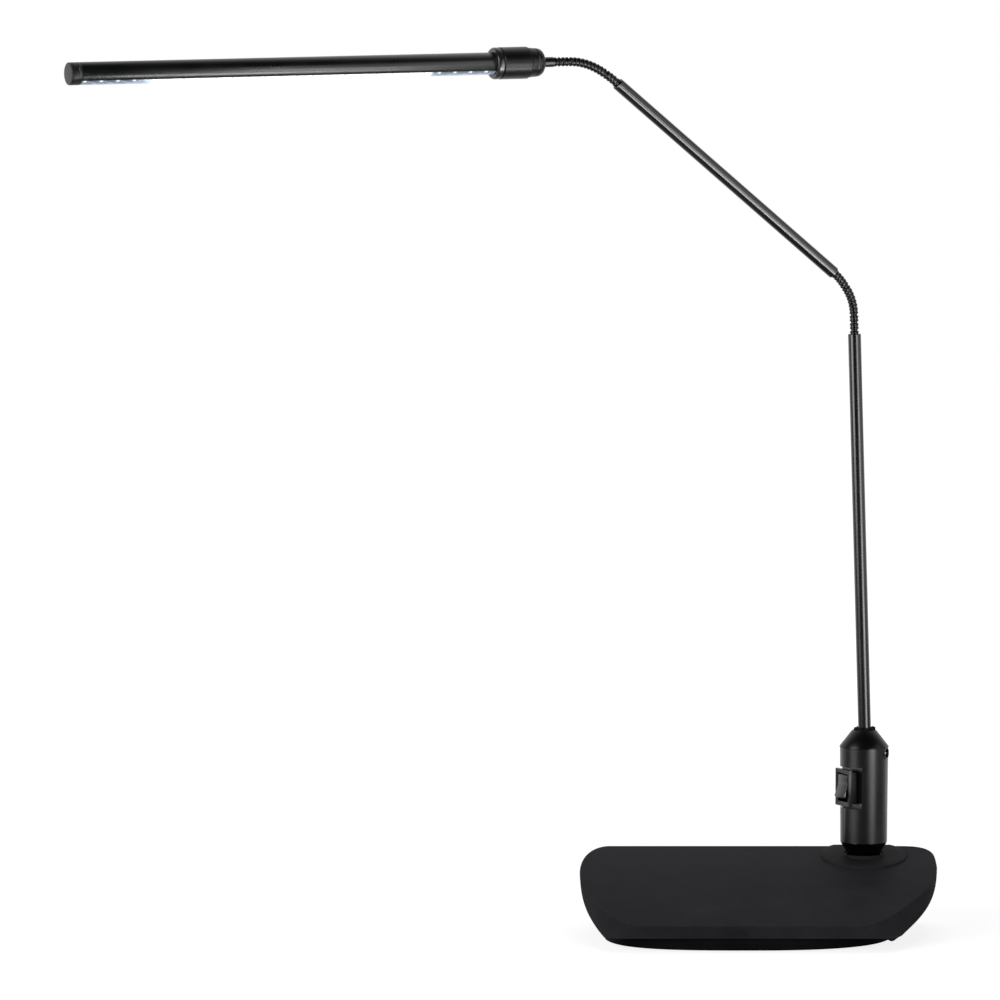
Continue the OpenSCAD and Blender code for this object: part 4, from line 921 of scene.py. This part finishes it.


# Light strip: a white board with a row of small light-emitting diodes, behind a clear
# polycarbonate lens that snaps into the extrusion. Between its clear ends the lens is pale and
# matt, with a painted glow.
board_white = opaque_finish("white_solder_mask", "#dcdedc", "#eeeeec", (0.35, 0.45), 0.8, 0.006)
paint(board_white, "led_board")
LED_PITCH, LED_START, LED_END = 10.1, 3, 2.0
CUP_FLOOR, CUP_TOP, CUP_HALF_W, CUP_HALF_L = 1.45, 2.1, 1.4, 1.75
diode_finish, tree = new_finish("phosphor_diode")
# Phosphor-filled silicone in a white cup: pale yellow, faintly alight
place = add_node(tree, "TexCoord")
phosphor_grain = add_node(tree, "TexNoise", {"Scale": 2500.0}, {"Vector": place.outputs["Object"]})
phosphor_tone = add_node(tree, "Mix", {6: linear("#f3e6a8"), 7: linear("#fff6cf")},
                         {0: phosphor_grain.outputs["Fac"]}, data_type="RGBA")
phosphor = add_node(tree, "BsdfPrincipled", {"Roughness": 0.35, "Emission Strength": 1.2,
                    "Emission Color": linear("#fffbe8")}, {"Base Color": phosphor_tone.outputs[2]})
add_node(tree, "OutputMaterial", links={"Surface": phosphor.outputs[0]})
diodes = []
spot = LAMP_END - LED_END
while spot >= RING_END + LED_START:
    cup = block(f"diode_{len(diodes)}", (CUP_FLOOR, -CUP_HALF_W, spot - CUP_HALF_L),
                (CUP_TOP, CUP_HALF_W, spot + CUP_HALF_L), Matrix())
    step_face(cup, ((0.35, 0.15),), Vector((1, 0, 0)))
    cup.data.transform(head)
    diodes.append(cup)
    spot -= LED_PITCH
bpy.ops.object.select_all(action="DESELECT")
for cup in diodes:
    cup.select_set(True)
bpy.context.view_layer.objects.active = diodes[0]
bpy.ops.object.join()
diode_row = bpy.context.object
diode_row.name = diode_row.data.name = "diode_row"
assemble(diode_row, "head", "led_phosphor", diode_finish, "leds")

LENS_OUT_R, LENS_IN_R, LENS_STEPS = LAMP_R - 0.02, LAMP_R - 1, 24
lens_arc = LENS_HALF - 1
arc_angles = [math.radians(-lens_arc + 2 * lens_arc * k / LENS_STEPS) for k in range(LENS_STEPS + 1)]
lens_section = [(LENS_OUT_R * math.cos(a), LENS_OUT_R * math.sin(a)) for a in arc_angles]
lens_section += [(LENS_IN_R * math.cos(a), LENS_IN_R * math.sin(a)) for a in reversed(arc_angles)]
lens = extruded("lamp_lens", lens_section, RING_END + 0.1, LAMP_END - 0.1, head)
round_edges(lens, 0.1, 2)
lens_finish, tree = new_finish("clear_polycarbonate_lens")
# Polycarbonate: clear at both ends, where it turns milky towards its lower edge with a faint
# painted glow, and pale and matt along the middle with a painted glow that stands in for light from
# the diodes. Above each diode a small painted spot of light sits on its upper edge.
CLEAR_NEAR, CLEAR_FAR, FROST_FADE = 40.0, 43.0, 3.0
HAZE_FROM, HAZE_TO, SPOT_TOP, SPOT_BOTTOM = 4.9, 6.1, 4.9, 5.2
place = add_node(tree, "TexCoord")
along_head = add_node(tree, "VectorMath", {1: head_along}, {0: place.outputs["Object"]},
                      operation="DOT_PRODUCT")
start_along = collar_start.dot(head_along)
near_end = add_node(tree, "MapRange", {"From Min": start_along + (RING_END + CLEAR_NEAR) * MM,
                    "From Max": start_along + (RING_END + CLEAR_NEAR + FROST_FADE) * MM},
                    {"Value": along_head.outputs["Value"]})
far_end = add_node(tree, "MapRange", {"From Min": start_along + (LAMP_END - CLEAR_FAR) * MM,
                   "From Max": start_along + (LAMP_END - CLEAR_FAR - FROST_FADE) * MM},
                   {"Value": along_head.outputs["Value"]})
# Share of the pale middle that carries the painted glow
frost_glow_share = add_node(tree, "Math", links={0: near_end.outputs[0], 1: far_end.outputs[0]},
                   operation="MULTIPLY")
down = bend_axis.cross(head_along)
below_axis = add_node(tree, "VectorMath", {1: down}, {0: place.outputs["Object"]}, operation="DOT_PRODUCT")
tube_axis = collar_start.dot(down)
haze_glow_share = add_node(tree, "MapRange", {
    "From Min": tube_axis + HAZE_FROM * MM, "From Max": tube_axis + HAZE_TO * MM,
    "To Min": 0.05, "To Max": 0.5}, {"Value": below_axis.outputs["Value"]})
# Painted spots of light, one above each diode on the lens's upper edge
spot_phase = add_node(tree, "Math", {1: (LED_PITCH / 2 - LAMP_END + LED_END) * MM - start_along},
                      {0: along_head.outputs["Value"]}, operation="ADD")
spot_place = add_node(tree, "Math", {1: LED_PITCH * MM}, {0: spot_phase.outputs[0]},
                      operation="FLOORED_MODULO")
spot_off = add_node(tree, "Math", {1: LED_PITCH / 2 * MM}, {0: spot_place.outputs[0]}, operation="SUBTRACT")
spot_reach = add_node(tree, "Math", links={0: spot_off.outputs[0]}, operation="ABSOLUTE")
spot_along = add_node(tree, "MapRange", {"From Min": 1.0 * MM, "From Max": 0.5 * MM},
                      {"Value": spot_reach.outputs[0]})
spot_high = add_node(tree, "MapRange", {
    "From Min": tube_axis + SPOT_BOTTOM * MM, "From Max": tube_axis + SPOT_TOP * MM},
    {"Value": below_axis.outputs["Value"]})
painted_spot_share = add_node(tree, "Math", links={0: spot_along.outputs[0], 1: spot_high.outputs[0]},
                    operation="MULTIPLY")
frost_grain = add_node(tree, "TexNoise", {"Scale": 1800.0}, {"Vector": place.outputs["Object"]})
frost_relief = add_node(tree, "Bump", {"Distance": 0.01 * MM}, {"Height": frost_grain.outputs["Fac"]})
clear_sheet = add_node(tree, "BsdfTransparent", {"Color": linear("#e4ebf2")})
clear_gloss = add_node(tree, "BsdfGlossy", {"Roughness": 0.08, "Color": linear("#f2f5fa")})
edge_gloss = add_node(tree, "Fresnel", {"IOR": 1.58})
clear = add_node(tree, "MixShader", links={0: edge_gloss.outputs[0], 1: clear_sheet.outputs[0],
                 2: clear_gloss.outputs[0]})
# Painted glow on the milky lower edge of the clear ends
haze_with_painted_glow = add_node(tree, "BsdfPrincipled", {"Base Color": linear("#aab6c6"), "Roughness": 0.35,
                "Emission Color": linear("#c3cfdf"), "Emission Strength": 0.3},
                {"Normal": frost_relief.outputs[0]})
clear_end = add_node(tree, "MixShader", links={0: haze_glow_share.outputs[0], 1: clear.outputs[0], 2: haze_with_painted_glow.outputs[0]})
# Painted glow along the pale middle, standing in for light from the diodes
frost_with_painted_glow = add_node(tree, "BsdfPrincipled", {"Base Color": linear("#e9edf0"), "Roughness": 0.4,
                 "Emission Color": linear("#ffffff"), "Emission Strength": 0.7},
                 {"Normal": frost_relief.outputs[0]})
lens_base = add_node(tree, "MixShader", links={0: frost_glow_share.outputs[0], 1: clear_end.outputs[0],
                     2: frost_with_painted_glow.outputs[0]})
# The painted spots of light themselves
painted_spot_glow = add_node(tree, "Emission", {"Color": linear("#fffef6"), "Strength": 1.0})
lens_surface = add_node(tree, "MixShader", links={0: painted_spot_share.outputs[0], 1: lens_base.outputs[0],
                        2: painted_spot_glow.outputs[0]})
add_node(tree, "OutputMaterial", links={"Surface": lens_surface.outputs[0]})
assemble(lens, "head", "lens_clear", lens_finish, "lens")


# End cap: a moulded plug that closes the far end of the tube, a shade lighter than the tube,
# with a thin flange and a groove behind its face.
CAP_PLUG_R, CAP_PLUG_L, CAP_R, CAP_FACE = 5.5, 4, 6.5, 6.5
end_cap = turned("lamp_end_cap", [
    (0, LAMP_END - CAP_PLUG_L), (CAP_PLUG_R, LAMP_END - CAP_PLUG_L), (CAP_PLUG_R, LAMP_END + 0.05),
    (6.4, LAMP_END + 0.05), (CAP_R, LAMP_END + 0.2), (CAP_R, LAMP_END + 1.5), (6.25, LAMP_END + 1.75),
    (6.25, LAMP_END + 2.25), (CAP_R, LAMP_END + 2.5), (CAP_R, LAMP_END + 5.9), (6.35, LAMP_END + 6.25),
    (6.0, LAMP_END + 6.45), (5.5, LAMP_END + CAP_FACE), (0, LAMP_END + CAP_FACE)], head, 96)
cut(end_cap, block("board_room", (0.3, -10, LAMP_END - 5), (10, 10, LAMP_END - 0.1), head))
# Satin ABS: greyer than the anodised tube, with the soft sheen of a polished mould
cap_abs = opaque_finish("satin_abs_grey_black", "#161618", "#202023", (0.34, 0.42), 0.7, 0.01, shine=0.4)
assemble(end_cap, "head", "end_plastic", cap_abs, "end_cap")
